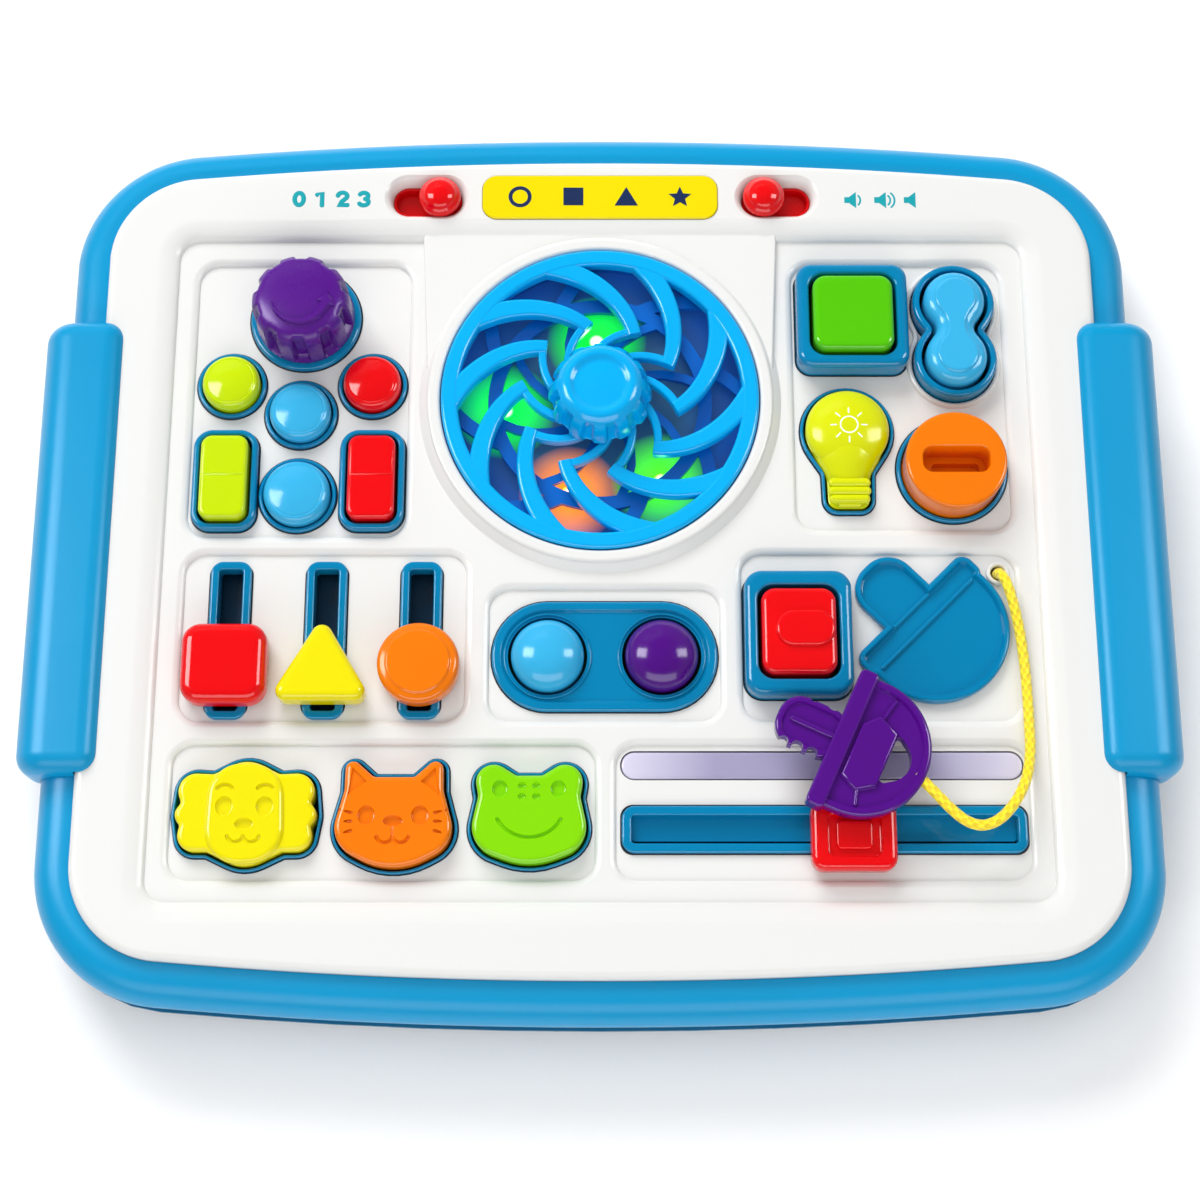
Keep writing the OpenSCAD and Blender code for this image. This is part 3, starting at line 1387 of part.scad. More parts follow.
module square_slider() color(red) {
    place = [track_x[0], slider_y];
    pillow(plate(place, slider_w, slider_w - 1, 5), 0, slider_low_z, tray_z + slider_h, 2.4, place, 0.4);
    slider_foot(place.x);
}

module triangle_slider() color(yellow) {
    place = [track_x[1], slider_y];
    pillow(moved(triangle_c, place), 0, slider_low_z, tray_z + slider_h, 1.8, place, 0.4);
    slider_foot(place.x);
}

module round_slider() color(orange) {
    top_z = tray_z + slider_h;
    at([track_x[2], slider_y])
        rotate_extrude()
            polygon(concat([[0, slider_low_z], [slider_r, slider_low_z]],
                arc([slider_r - 1.6, top_z - 2], 1.6, 0, 90, 4), [[0, top_z]]));
    slider_foot(track_x[2]);
}

module dome(place) {
    rim_rise = 1.6;
    rise = dome_h - rim_rise;
    ball_r = (dome_r * dome_r + rise * rise) / (2 * rise);
    half = asin(dome_r / ball_r);
    at(place)
        rotate_extrude()
            polygon(concat([[0, stem_z], [stem_r, stem_z], [stem_r, stop_z - stop_t],
                [dome_r + stop_w, stop_z - stop_t], [dome_r + stop_w, stop_z], [dome_r, stop_z]],
                arc([0, tray_z + dome_h - ball_r], ball_r, 90 - half, 90, 8)));
}

module blue_dome() color(light_blue)
    dome(dome_places[0]);

module purple_dome() color(purple)
    dome(dome_places[1]);

module switch_cap() color(red)
    shaped_cap(switch_c, switch_at, switch_h, 2, 0);

// Key with a round-ended toothed blade, a cross bar and a D-shaped bow
module toy_key() color(purple)
    translate([key_at.x, key_at.y, key_low_z])
        rotate(key_turn)
            difference() {
                union() {
                    linear_extrude(key_t)
                        polygon(belt(key_bar_c));
                    translate([0, 0, 0.5])
                        linear_extrude(key_t - 1.5)
                            polygon(belt(key_bow_c));
                    translate([0, 0, 0.5])
                        linear_extrude(key_t - 0.9)
                            polygon(key_boss);
                    translate([0, 0, (key_t - blade_t) / 2])
                        linear_extrude(blade_t)
                            polygon(belt(key_blade_c));
                }
                translate([0, 0, -bite])
                    linear_extrude(key_t + 2 * bite)
                        polygon(belt(key_hole_c));
                for (x = blade_teeth)
                    translate([x, -blade_w / 2 - 0.8, -bite])
                        cylinder(r = 1.5, h = key_t + 2 * bite);
                rotate(-key_turn)
                    translate(cord_route[len(cord_route) - 1] - [key_at.x, key_at.y, key_low_z])
                        rotate([0, 90, atan2(cord_in.y, cord_in.x)])
                            cylinder(r = cord_d / 2 + 0.2, h = 8);
            }

module header_slider(place) {
    low_z = well_z + slide_gap;
    top_z = face_z + 4.6;
    at(place)
        rotate_extrude()
            polygon(concat([[0, low_z], [header_knob_r, low_z]],
                arc([header_knob_r - 2.6, top_z - 3.4], 2.6, 0, 80, 5), [[0, top_z]]));
    slab(plate(place, header_stem_l, header_stem_w, 1), 0, header_foot_z - bite, low_z + bite, 2);
    slab(plate(place, header_stem_l, header_stem_w + 3, 1), 0, header_foot_z - 1.4, header_foot_z, 2);
}

module mode_slider() color(red)
    header_slider(mode_knob_at);

module volume_slider() color(red)
    header_slider(volume_knob_at);

module long_slider() color(red) {
    place = [long_slider_x, long_at.y - 2.6];
    top_z = tray_z + long_slider_h;
    difference() {
        pillow(plate(place, long_slider_w, long_slider_l, 3.6), 0, slider_low_z, top_z, 2, place);
        slab(plate(place, 14.4, 12, 1.6), 0, top_z - 1.6, top_z + bite, 3);
    }
    slab(plate(place, 10, 8, 1), 0, top_z - 1.6 - bite, top_z - 0.4, 3);
    slider_stem([long_slider_x, long_at.y], long_stem_l, long_slot_w - 2 * slide_gap, slider_low_z, stop_z, 0, foot_w);
}

module dog_button() color(yellow)
    shaped_cap(dog_c, dog_at, animal_h, 1.8, 1.2, 4);

module cat_button() color(orange)
    shaped_cap(cat_c, cat_at, animal_h, 1.8, 1.2, 4);

module frog_button() color(green)
    shaped_cap(frog_c, frog_at, animal_h, 1.8, 1.2, 4);

rear_cover();
front_panel();
rim_bumper();
left_handle();
right_handle();
rubber_feet();
battery_door();
battery_cells();
battery_contacts();
case_screws();
main_board();
tact_switches();
light_emitters();
speaker();
mode_label();
light_bowl();
light_grille();
light_bar_lens();
cord_eyelet();
key_cord();
return_springs();
round_bezels();
rocker_bezels();
square_bezel();
peanut_bezel();
bulb_bezel();
switch_bezel();
slider_tracks();
long_track();
dome_plate();
key_tray();
animal_bezels();
switch_wells();
rotary_knob();
lime_button();
red_button();
upper_blue_button();
lower_blue_button();
lime_rocker();
red_rocker();
spinner_wheel();
spinner_knob();
square_button();
peanut_rocker();
bulb_button();
lock_cylinder();
square_slider();
triangle_slider();
round_slider();
blue_dome();
purple_dome();
switch_cap();
toy_key();
mode_slider();
volume_slider();
long_slider();
dog_button();
cat_button();
frog_button();
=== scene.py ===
import math

import bmesh
import bpy
from mathutils import Matrix, Vector


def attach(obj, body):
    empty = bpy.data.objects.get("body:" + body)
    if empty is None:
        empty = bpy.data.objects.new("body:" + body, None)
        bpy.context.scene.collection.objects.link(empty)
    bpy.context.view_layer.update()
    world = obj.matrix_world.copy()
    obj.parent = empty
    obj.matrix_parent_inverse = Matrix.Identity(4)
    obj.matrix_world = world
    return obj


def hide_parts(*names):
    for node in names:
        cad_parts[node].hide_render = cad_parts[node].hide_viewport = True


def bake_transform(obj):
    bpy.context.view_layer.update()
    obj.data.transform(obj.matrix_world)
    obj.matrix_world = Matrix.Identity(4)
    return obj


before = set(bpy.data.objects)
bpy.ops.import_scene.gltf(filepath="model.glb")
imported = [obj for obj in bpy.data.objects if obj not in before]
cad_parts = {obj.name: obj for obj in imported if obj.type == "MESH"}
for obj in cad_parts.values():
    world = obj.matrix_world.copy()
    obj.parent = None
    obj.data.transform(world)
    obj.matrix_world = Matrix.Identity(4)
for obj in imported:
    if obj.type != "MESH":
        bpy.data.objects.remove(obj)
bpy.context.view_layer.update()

# Photographer's table: a seamless sheet of matt paper under a wide polarised scrim, a key light from
# the far left, two soft boxes beside the board and a long one over its near edge, for the windows and
# the lower band of light on every cap. The camera looks steeply down from the near side.
MM = 0.001
scene = bpy.context.scene


def linear(code):
    """Linear colour of an sRGB hex value."""
    parts = [int(code[k:k + 2], 16) / 255 for k in (1, 3, 5)]
    return [c / 12.92 if c <= 0.04045 else ((c + 0.055) / 1.055) ** 2.4 for c in parts] + [1]


def add(tree, kind, inputs=(), **settings):
    """Node of a kind with its settings, and with a value or a link for each named input."""
    made = tree.nodes.new(kind)
    for key, value in settings.items():
        setattr(made, key, value)
    for key, value in dict(inputs).items():
        if isinstance(value, bpy.types.NodeSocket):
            tree.links.new(value, made.inputs[key])
        else:
            made.inputs[key].default_value = value
    return made


def started(name):
    """New material, with its node tree and its shader."""
    made = bpy.data.materials.new(name)
    made.use_nodes = True
    return made, made.node_tree, made.node_tree.nodes["Principled BSDF"]


# Matt paper: pale fibres a few millimetres long, with no gloss.
paper, tree, shader = started("matt_backdrop_paper")
place = add(tree, "ShaderNodeTexCoord").outputs["Object"]
fibres = add(tree, "ShaderNodeTexNoise", {"Vector": place, "Scale": 1 / (6 * MM), "Detail": 4})
pale = add(tree, "ShaderNodeMixRGB",
           {"Fac": fibres.outputs["Fac"], "Color1": linear("#FBFBFB"), "Color2": linear("#FFFFFF")})
tree.links.new(pale.outputs["Color"], shader.inputs["Base Color"])
shader.inputs["Roughness"].default_value = 0.9
shader.inputs["Specular IOR Level"].default_value = 0.1

bm = bmesh.new()
bmesh.ops.create_grid(bm, x_segments=8, y_segments=8, size=2.5)
mesh = bpy.data.meshes.new("backdrop")
bm.to_mesh(mesh)
bm.free()
mesh.materials.append(paper)
backdrop = bpy.data.objects.new("backdrop", mesh)
scene.collection.objects.link(backdrop)

# Studio air: pale walls low down and a dim ceiling, so that tops stay rich in colour.
scene.world = bpy.data.worlds.new("studio_air")
scene.world.use_nodes = True
air = scene.world.node_tree
place = add(air, "ShaderNodeTexCoord").outputs["Generated"]
height = add(air, "ShaderNodeSeparateXYZ", {"Vector": place})
walls = add(air, "ShaderNodeMapRange",
            {"Value": height.outputs["Z"], "From Min": 0.5, "From Max": 0.95, "To Min": 0.3, "To Max": 0.06},
            interpolation_type="SMOOTHSTEP")
air.links.new(walls.outputs["Result"], air.nodes["Background"].inputs["Strength"])
air.nodes["Background"].inputs["Color"].default_value = (1, 1, 1, 1)

lit_spot = Vector((0, 0, 30 * MM))
for name, at, wide, high, watts, shown in (
        ("ceiling_scrim", (0, 0.05, 1.5), 1.8, 1.8, 12, "diffuse"),
        ("key_soft_box", (-0.5, 1.3, 1), 1.2, 0.8, 28, "diffuse"),
        ("left_soft_box", (-0.62, 0.14, 0.62), 0.3, 0.44, 4.4, "gloss"),
        ("right_soft_box", (0.68, 0.14, 0.6), 0.26, 0.44, 3.2, "gloss"),
        ("near_soft_box", (0, -0.8, 0.5), 1.3, 0.44, 4.8, "both")):
    lamp = bpy.data.lights.new(name, "AREA")
    lamp.shape = "RECTANGLE"
    lamp.size, lamp.size_y, lamp.energy = wide, high, watts
    box = bpy.data.objects.new(name, lamp)
    box.location = at
    box.rotation_euler = (lit_spot - Vector(at)).to_track_quat("-Z", "Y").to_euler()
    box.visible_glossy = shown != "diffuse"
    box.visible_diffuse = shown != "gloss"
    scene.collection.objects.link(box)

lens = bpy.data.cameras.new("product_camera")
lens.lens, lens.sensor_width = 63.66, 36
camera = bpy.data.objects.new("product_camera", lens)
camera.location = (0, -181.9 * MM, 611.8 * MM)
aim = Vector((0, -14.8 * MM, 29 * MM))
camera.rotation_euler = (aim - camera.location).to_track_quat("-Z", "Y").to_euler()
scene.collection.objects.link(camera)
scene.camera = camera
scene.view_settings.view_transform = "Standard"


# Rear cover with its battery door: moulded blue ABS trays that close the case from below, held by
# sunk steel screws. Their shapes come from the model and only their surface is made here.
def moulded(name, colour, flow, gloss=0.2, grain=0.012, ior=1.5):
    """Injection-moulded plastic: a faint flow tint, a polished face and the fine texture of its mould."""
    finish, tree, shader = started(name)
    place = add(tree, "ShaderNodeTexCoord").outputs["Object"]
    # Flow tint in patches of 45 mm, polish in patches of 9 mm, and mould grain of 1.1 mm, which is
    # drawn coarser than the real 0.2 mm so that it shows.
    streaks, polish, texture = [
        add(tree, "ShaderNodeTexNoise", {"Vector": place, "Scale": 1 / (size * MM), "Detail": detail})
        for size, detail in ((45, 2), (9, 3), (1.1, 2))]
    tint = add(tree, "ShaderNodeMixRGB",
               {"Fac": streaks.outputs["Fac"], "Color1": linear(colour), "Color2": linear(flow)})
    rough = add(tree, "ShaderNodeMapRange",
                {"Value": polish.outputs["Fac"], "To Min": 0.85 * gloss, "To Max": 1.15 * gloss})
    skin = add(tree, "ShaderNodeBump",
               {"Height": texture.outputs["Fac"], "Strength": grain, "Distance": 0.3 * MM})
    tree.links.new(tint.outputs["Color"], shader.inputs["Base Color"])
    tree.links.new(rough.outputs["Result"], shader.inputs["Roughness"])
    tree.links.new(skin.outputs["Normal"], shader.inputs["Normal"])
    shader.inputs["IOR"].default_value = ior
    return finish


def dress(node, finish):
    """Puts a finish on a solid that keeps its own shape."""
    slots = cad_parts[node].data.materials
    slots.clear()
    slots.append(finish)


# Moulded ABS: deep blue, with a dull sheen from its textured mould.
cover_abs = moulded("blue_moulded_abs", "#08688F", "#076388", gloss=0.34, grain=0.05)
for node in ("rear_cover", "battery_door"):
    dress(node, cover_abs)

# Screws, springs and battery contacts: bright steel, turned or bent from wire, driven into the case's
# bosses or pressed into their seats. Most stand out of sight, so they keep their solids.
# Turned steel: a bright metal with a fine lathe mark every 0.4 mm.
steel, tree, shader = started("bright_turned_steel")
place = add(tree, "ShaderNodeTexCoord").outputs["Object"]
marks = add(tree, "ShaderNodeTexNoise", {"Vector": place, "Scale": 1 / (0.4 * MM), "Detail": 1})
worn = add(tree, "ShaderNodeMapRange", {"Value": marks.outputs["Fac"], "To Min": 0.22, "To Max": 0.4})
tree.links.new(worn.outputs["Result"], shader.inputs["Roughness"])
shader.inputs["Base Color"].default_value = linear("#B9BCBF")
shader.inputs["Metallic"].default_value = 1
for node in ("case_screws", "return_springs", "battery_contacts"):
    dress(node, steel)

# Works inside the case: the board, its switches and lamps, the speaker and three cells with printed
# sleeves, and the feet under it. They hardly show, so they keep their solids.
# Lacquered green for the board, matt black for its parts, satin film on the cells, dull rubber feet.
dress("main_board", moulded("green_solder_mask", "#276E42", "#20603A", gloss=0.3, grain=0.08))
black_abs = moulded("black_matt_abs", "#1F2022", "#191B1D", gloss=0.5, grain=0.08)
dress("tact_switches", black_abs)
dress("speaker", black_abs)
dress("battery_cells", moulded("printed_cell_sleeve", "#35424E", "#2E3A45", gloss=0.25))
dress("rubber_feet", moulded("grey_foot_rubber", "#434749", "#3D4043", gloss=0.75, grain=0.15))


# Rim: one soft TPE hoop with a round outer face, moulded separately and clamped by its tongue
# between the two shells.
def outline(grow):
    """The board's outline grown by a margin: four round corners and bowed far and near edges."""
    arcs = [(119.5, 90.29, 27, 0, 85.007), (0, -1277.5, 1400, 85.007, 94.993),
            (-119.5, 90.29, 27, 94.993, 180), (-119.5, -90.29, 27, 180, 265.007),
            (0, 1277.5, 1400, 265.007, 274.993), (119.5, -90.29, 27, 274.993, 360)]
    points = []
    for x, y, r, start, end in arcs:
        for k in range(24):
            a = math.radians(start + (end - start) * k / 24)
            points.append((x + (r + grow) * math.cos(a), y + (r + grow) * math.sin(a)))
    return points


def corner(across, up, r, start, end, count=6, rise=None):
    """Points of a round from one angle to another; rise is its radius upwards where it is oval."""
    turns = [math.radians(start + (end - start) * k / count) for k in range(count + 1)]
    return [(across + r * math.cos(a), up + (r if rise is None else rise) * math.sin(a)) for a in turns]


def level(points, z):
    """Flat outline at a height."""
    return [(x, y, z) for x, y in points]


def drawn(loops, hoop=False):
    """Shape extruded from outline to outline, closed at both ends, or on itself as a hoop."""
    bm = bmesh.new()
    first = [bm.verts.new(Vector(p) * MM) for p in loops[0]]
    end = bm.faces.new(first)
    for points in loops[1:] + (loops[:1] if hoop else []):
        end = bmesh.ops.extrude_discrete_faces(bm, faces=[end])["faces"][0]
        for vert, point in zip(end.verts, points):
            vert.co = Vector(point) * MM
    if hoop:
        bmesh.ops.delete(bm, geom=[end], context="FACES_ONLY")
        bmesh.ops.remove_doubles(bm, verts=bm.verts, dist=0.0005 * MM)
    else:
        bm.faces.new(first)
    bmesh.ops.recalc_face_normals(bm, faces=bm.faces)
    return bm


def piece(name, bm, finish, body="console", nodes=(), sharp=38):
    """Finished piece: smooth but for its hard edges, riding on a body and standing for nodes."""
    mesh = bpy.data.meshes.new(name)
    bm.to_mesh(mesh)
    bm.free()
    mesh.shade_smooth()
    mesh.set_sharp_from_angle(angle=math.radians(sharp))
    mesh.materials.append(finish)
    made = bpy.data.objects.new(name, mesh)
    scene.collection.objects.link(made)
    even = made.modifiers.new("even_shading", "WEIGHTED_NORMAL")
    even.keep_sharp = True
    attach(made, body)
    if nodes:
        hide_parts(*nodes)
    return made


# Soft TPE: a satin blue skin with broad, weak lights.
rim_tpe = moulded("soft_blue_tpe", "#0095CA", "#0090C3", gloss=0.3, ior=1.36)
tongue = [(0.1, 20.5), (-2.4, 20.5), (-2.4, 18.5), (0.1, 18.5), (0.1, 11)]
rim = corner(2.7, 19.5, 9, -70.8, 106.8, 20) + tongue
piece("rim_hoop", drawn([level(outline(grow), z) for grow, z in rim], hoop=True), rim_tpe,
      nodes=["rim_bumper"])


# Side handles: thick TPE bars over the rim, round on top and at both ends, hooked over the edge of
# the white panel and bonded to the rim.
def plate(at, w, l, r):
    """Corner circles of a rounded rectangle."""
    x, y = w / 2 - r, l / 2 - r
    return [(at[0] + i * x, at[1] + j * y, r) for i, j in ((-1, -1), (1, -1), (1, 1), (-1, 1))]


def run(a, b):
    """Direction of the line that leaves one circle and meets the next."""
    x, y = b[0] - a[0], b[1] - a[1]
    return math.atan2(y, x) + math.asin((a[2] - b[2]) / math.hypot(x, y))


def belt(circles, grow=0, fine=9):
    """Closed line round circles, grown by a margin; a circle with a negative radius is a hollow."""
    points = []
    for k, (x, y, r) in enumerate(circles):
        start = run(circles[k - 1], circles[k])
        bend = (run(circles[k], circles[(k + 1) % len(circles)]) - start) % math.tau
        bend -= math.tau if r < 0 else 0
        count = max(3, math.ceil(abs(math.degrees(bend)) / fine))
        for i in range(count + 1):
            a = start + bend * i / count
            points.append((x + (r + grow) * math.sin(a), y - (r + grow) * math.cos(a)))
    return points


def rows(circles, profile, fine=9):
    """Outlines of a piece from bottom to top: each row of the profile is a growth and a height."""
    return [level(belt(circles, grow, fine), z) for grow, z in profile]


def merged(*shapes):
    """One shape of several."""
    whole = bmesh.new()
    for shape in shapes:
        mesh = bpy.data.meshes.new("part")
        shape.to_mesh(mesh)
        shape.free()
        whole.from_mesh(mesh)
        bpy.data.meshes.remove(mesh)
    return whole


def carved(blank, *cutters, operation="DIFFERENCE", crossing=False):
    """Blank with cutters taken out of it, or joined to it; crossing says that cutters may overlap."""
    solids = []
    for name, shape in (("blank", blank), ("cutter", merged(*cutters))):
        mesh = bpy.data.meshes.new(name)
        shape.to_mesh(mesh)
        shape.free()
        solids.append(bpy.data.objects.new(name, mesh))
        scene.collection.objects.link(solids[-1])
    cut = solids[0].modifiers.new("cut", "BOOLEAN")
    cut.operation, cut.solver, cut.object = operation, "EXACT" if crossing else "MANIFOLD", solids[1]
    cut.use_self = crossing
    shaped = solids[0].evaluated_get(bpy.context.evaluated_depsgraph_get())
    mesh = bpy.data.meshes.new_from_object(shaped)
    result = bmesh.new()
    result.from_mesh(mesh)
    for data in [mesh] + [solid.data for solid in solids]:
        bpy.data.meshes.remove(data)
    return result


handle_middle, handle_half, end_round = 2, 68, 6
grip_section = [(147, 18.2, 7), (157, 18.2, 7), (154, 25.5, 10), (145.5, 30, 5.5)]
ends = corner(end_round, end_round, -end_round, 0, 90, 8)
stations = ([(handle_middle - handle_half + y, inset) for y, inset in ends]
            + [(handle_middle + handle_half - y, inset) for y, inset in reversed(ends)])
for side, node in ((-1, "left_handle"), (1, "right_handle")):
    bar = drawn([[(x, y, z) for x, z in belt(grip_section, -inset)] for y, inset in stations])
    rim_tube = drawn([[(x, y, z) for x, z in corner(149.2, 19.5, 9.1, 0, 354.375, 63)] for y in (-80, 80)])
    panel_edge = drawn([level([(100, -80), (146.6, -80), (146.6, 80), (100, 80)], z) for z in (0, 32.1)])
    bar = carved(carved(bar, rim_tube), panel_edge)
    if side < 0:
        bmesh.ops.scale(bar, vec=(-1, 1, 1), verts=bar.verts)
        bmesh.ops.reverse_faces(bar, faces=bar.faces)
    piece(node + "_bar", bar, rim_tpe, nodes=[node])


# Front shell: the white face of the board, one moulding of polished ABS with a main recess, seven
# small trays with soft lips, a raised block round the spinner and an opening under each control.
def turned(profile, at, steps=96, hoop=False):
    """Shape turned about an upright axis from radii and heights; a hoop's profile closes on itself."""
    bm = bmesh.new()
    points = profile + profile[:1] if hoop else profile
    verts = [bm.verts.new(((at[0] + r) * MM, at[1] * MM, z * MM)) for r, z in points]
    edges = [bm.edges.new(pair) for pair in zip(verts, verts[1:])]
    bmesh.ops.spin(bm, geom=verts + edges, cent=(at[0] * MM, at[1] * MM, 0), axis=(0, 0, 1),
                   angle=math.tau, steps=steps, use_merge=True)
    bmesh.ops.remove_doubles(bm, verts=bm.verts, dist=0.0005 * MM)
    bmesh.ops.recalc_face_normals(bm, faces=bm.faces)
    return bm


def dip(circles, low, high, reach, fine=9):
    """Cutter of a tray: upright at its floor and rolled over to a soft edge above."""
    turns = [math.radians(8 * k) for k in range(9)]
    wide, tall = 1 - math.cos(turns[-1]), math.sin(turns[-1])
    lip = [(reach * (1 - math.cos(a)) / wide, low + (high - low) * math.sin(a) / tall) for a in turns]
    return drawn(rows(circles, lip + [(reach, high + 2)], fine))


def box_plate(left, right, near, far, r=6):
    """Corner circles of a tray from its sides."""
    return plate(((left + right) / 2, (near + far) / 2), right - left, far - near, r)


def moved(circles, at):
    """Circles of an outline carried to its place."""
    return [(x + at[0], y + at[1], r) for x, y, r in circles]


def both_sides(first, right, last=()):
    """Circles of an outline with like left and right sides, from its lowest circle round."""
    return first + right + list(last) + [(-x, y, r) for x, y, r in reversed(right)]


# Polished white ABS: clean and even, with soft lights along its rolled edges.
white_abs = moulded("white_polished_abs", "#E1E1DF", "#E0E0DE", gloss=0.24, grain=0.006, ior=1.45)
tray_floor, recess_floor, face_top = 27.4, 29, 32
lime_at, red_at, upper_at, lower_at = (-108.3, 51), (-66.9, 51), (-87.7, 42), (-87.8, 17)
knob_at, lock_at, spinner_at = (-87.3, 72.2), (102.4, 24.7), (0, 46.3)
round_places = ((lime_at, 8.6), (red_at, 8.6), (upper_at, 9.1), (lower_at, 9.8), (lock_at, 14.6))
blue_dome_at, purple_dome_at, eyelet_at = (-14.9, -31.2), (17.5, -31.2), (114.2, -6.6)
rocker_places = ((-108.9, 21.3), (-66.2, 21.3))
square_at, peanut_at, bulb_at, switch_at = (74.4, 71), (104.5, 66.8), (72.2, 36.5), (56.2, -25.4)
dog_at, cat_at, frog_at = (-98.2, -76.8), (-57.1, -76.8), (-19.6, -76.8)
track_places = ((-105.8, -26.3), (-78.3, -26.3), (-51.1, -26.3))
long_at, bar_at = (62.4, -80.8), (62.2, -62.6)
label_at, mode_at, volume_at = (0, 110.2), (-52, 110.4), (53.1, 110.4)

peanut = moved([(0, -8.8, 9), (9.2, 0, -3.6), (0, 8.8, 9), (-9.2, 0, -3.6)], peanut_at)
bulb = moved([(-3.2, -20.9, 2.9), (3.2, -20.9, 2.9), (9.6, -13.7, -3.3), (0, 0, 12.2), (-9.6, -13.7, -3.3)],
             bulb_at)
dog_bed = moved(both_sides([(0, -4.2, 10.4)],
                           [(11.3, -13.2, -2.6), (14, -6, 4.6), (16.3, -0.3, 3.3), (13.9, 6.3, 5),
                            (9.9, 13.6, -2.6)], [(0, 5.2, 9.4)]), dog_at)
cat = moved(both_sides([(0, 4.3, 19.5)], [(7.6, -4, 8.6), (15.9, 6.6, -2.2), (11.4, 12.2, 2.2),
                                          (4.8, 12.2, -2.2)]), cat_at)
frog = moved(both_sides([(0, 5.6, 19.8)], [(7.4, -3.8, 8.4), (16.4, 4.6, -2.2), (9.9, 8.6, 4.9),
                                           (3, 12.6, -2.2)]), frog_at)

face = [(0, 20.6)] + corner(-2.5, 29.5, 2.5, 0, 90, 8) + [(-4, face_top)]
shell = drawn([level(outline(grow), z) for grow, z in face])
shell = carved(shell, drawn([level(outline(-2.4), z) for z in (20, 24.9)]),
               dip(plate((0, -2.2), 251, 198, 6), recess_floor, face_top, 6.4))
block = drawn(rows([(0, 46.3, 48), (47.4, 97, 3), (-47.4, 97, 3)],
                   [(2.4, 28.5), (2.4, 30)] + corner(1.6, 30, 0.8, 0, 90) + [(-2, 30.8)], 4))
lip = ([(44, 28.4), (53.2, 28.4), (53.2, 29), (52.2, 30), (51, 31)] + corner(49.6, 30.8, 1.2, 20, 90)
       + [(44, face_top)])
shell = carved(shell, block, turned(lip, spinner_at, 144, hoop=True), operation="UNION", crossing=True)
trays = [(-119.4, -56.4, 4.4, 89.5), (57, 119, 6.5, 89.5), (-119, -38.5, -50, -1), (-31.5, 34, -50, -11.5),
         (40.5, 119, -50, -1), (-119.6, -1.5, -95, -57), (4.5, 119.6, -95, -57)]
spinner_well = [(0, 24), (46.9, 24), (46.9, 30.8)] + corner(48.1, 30.8, 1.2, 180, 90) + [(48.1, 33), (0, 33)]
shell = carved(shell, *[dip(box_plate(*tray), tray_floor, recess_floor, 2.2) for tray in trays],
               *[dip(plate(at, 20.9, 10.1, 5), 27.9, face_top, 2.3) for at in (mode_at, volume_at)],
               drawn(rows(plate(label_at, 71, 14.6, 4.7), [(0, 31.3), (0, 33)])),
               turned(spinner_well, spinner_at, 144))
openings = [turned([(0, 23), (r + 1, 23), (r + 1, 28), (0, 28)], at, 64) for at, r in (
    *round_places, (knob_at, 5), (blue_dome_at, 11.1), (purple_dome_at, 11.1), (eyelet_at, 2))]
openings += [drawn(rows(shape, [(grow, 23), (grow, 28)])) for shape, grow in (
    (peanut, 1.9), (bulb, 1.35), (dog_bed, 1.35), (cat, 1.35), (frog, 1.35),
    (plate(square_at, 25.6, 25.6, 5), 0.8), (plate(switch_at, 23.2, 27.4, 4), 0.8),
    (plate(long_at, 107.3, 7.8, 1), 0.8), (plate(bar_at, 113, 8.2, 4), 0.1),
    *[(plate(at, 15.2, 28.6, 3.4), 0.8) for at in rocker_places],
    *[(plate(at, 6.8, 41.4, 1), 0.8) for at in track_places])]
openings += [drawn(rows(plate(at, 20.6, 9.8, 4.8), [(0.1, 23), (0.1, 30)])) for at in (mode_at, volume_at)]
collar = drawn(rows(moved([(0, -8.8, 12.6), (15.6, 0, -5.2), (0, 8.8, 12.6), (-15.6, 0, -5.2)], peanut_at),
                    [(-0.2, 27.2), (-0.2, 28.2), (0.1, 28.5), (0.5, 28.6), (1, 28.3), (1.5, 27.2)], 5),
               hoop=True)
piece("white_face", merged(carved(shell, *openings), collar), white_abs, nodes=["front_panel"],
      sharp=30)


# Blue bezels: glossy rings and frames pressed into the trays. Each has a sleeve through the shell
# that guides its cap, and a rounded rim that stands above the tray.
# Polished ABS: a mid blue with small sharp lights along every rim.
trim = moulded("blue_polished_abs", "#0080B1", "#007AA9", gloss=0.1)
sleeve_end, ring_top, sleeve_wall = 23.6, 28.9, 0.7


def bezel(name, bm, node):
    """Piece of the board's blue trim."""
    piece(name, bm, trim, nodes=[node])


def frame_profile(width, top, outer, inner, gap=0.3):
    """Profile of a frame from its opening outwards, with rounded outer and inner edges."""
    return ([(gap + width, tray_floor)] + corner(gap + width - outer, top - outer, outer, 0, 90)
            + corner(gap + inner, top - inner, inner, 90, 180)
            + [(gap, sleeve_end), (gap + sleeve_wall, sleeve_end), (gap + sleeve_wall, tray_floor)])


def framed(shape, *sizes):
    """Frame that follows the outline of a cap."""
    return drawn(rows(shape, frame_profile(*sizes)), hoop=True)


def tall_frame(at, opening, foot, top):
    """Tall frame round a cap, from the width, length and corners of its opening and of its foot."""
    outside = [(0, tray_floor)] + corner(-2.2, top - 2.2, 2.2, 0, 90, 8)
    inside = corner(0.9, top - 0.9, 0.9, 90, 180) + [(0, sleeve_end), (sleeve_wall, sleeve_end),
                                                     (sleeve_wall, tray_floor)]
    return drawn(rows(plate(at, *foot), outside) + rows(plate(at, *opening), inside), hoop=True)


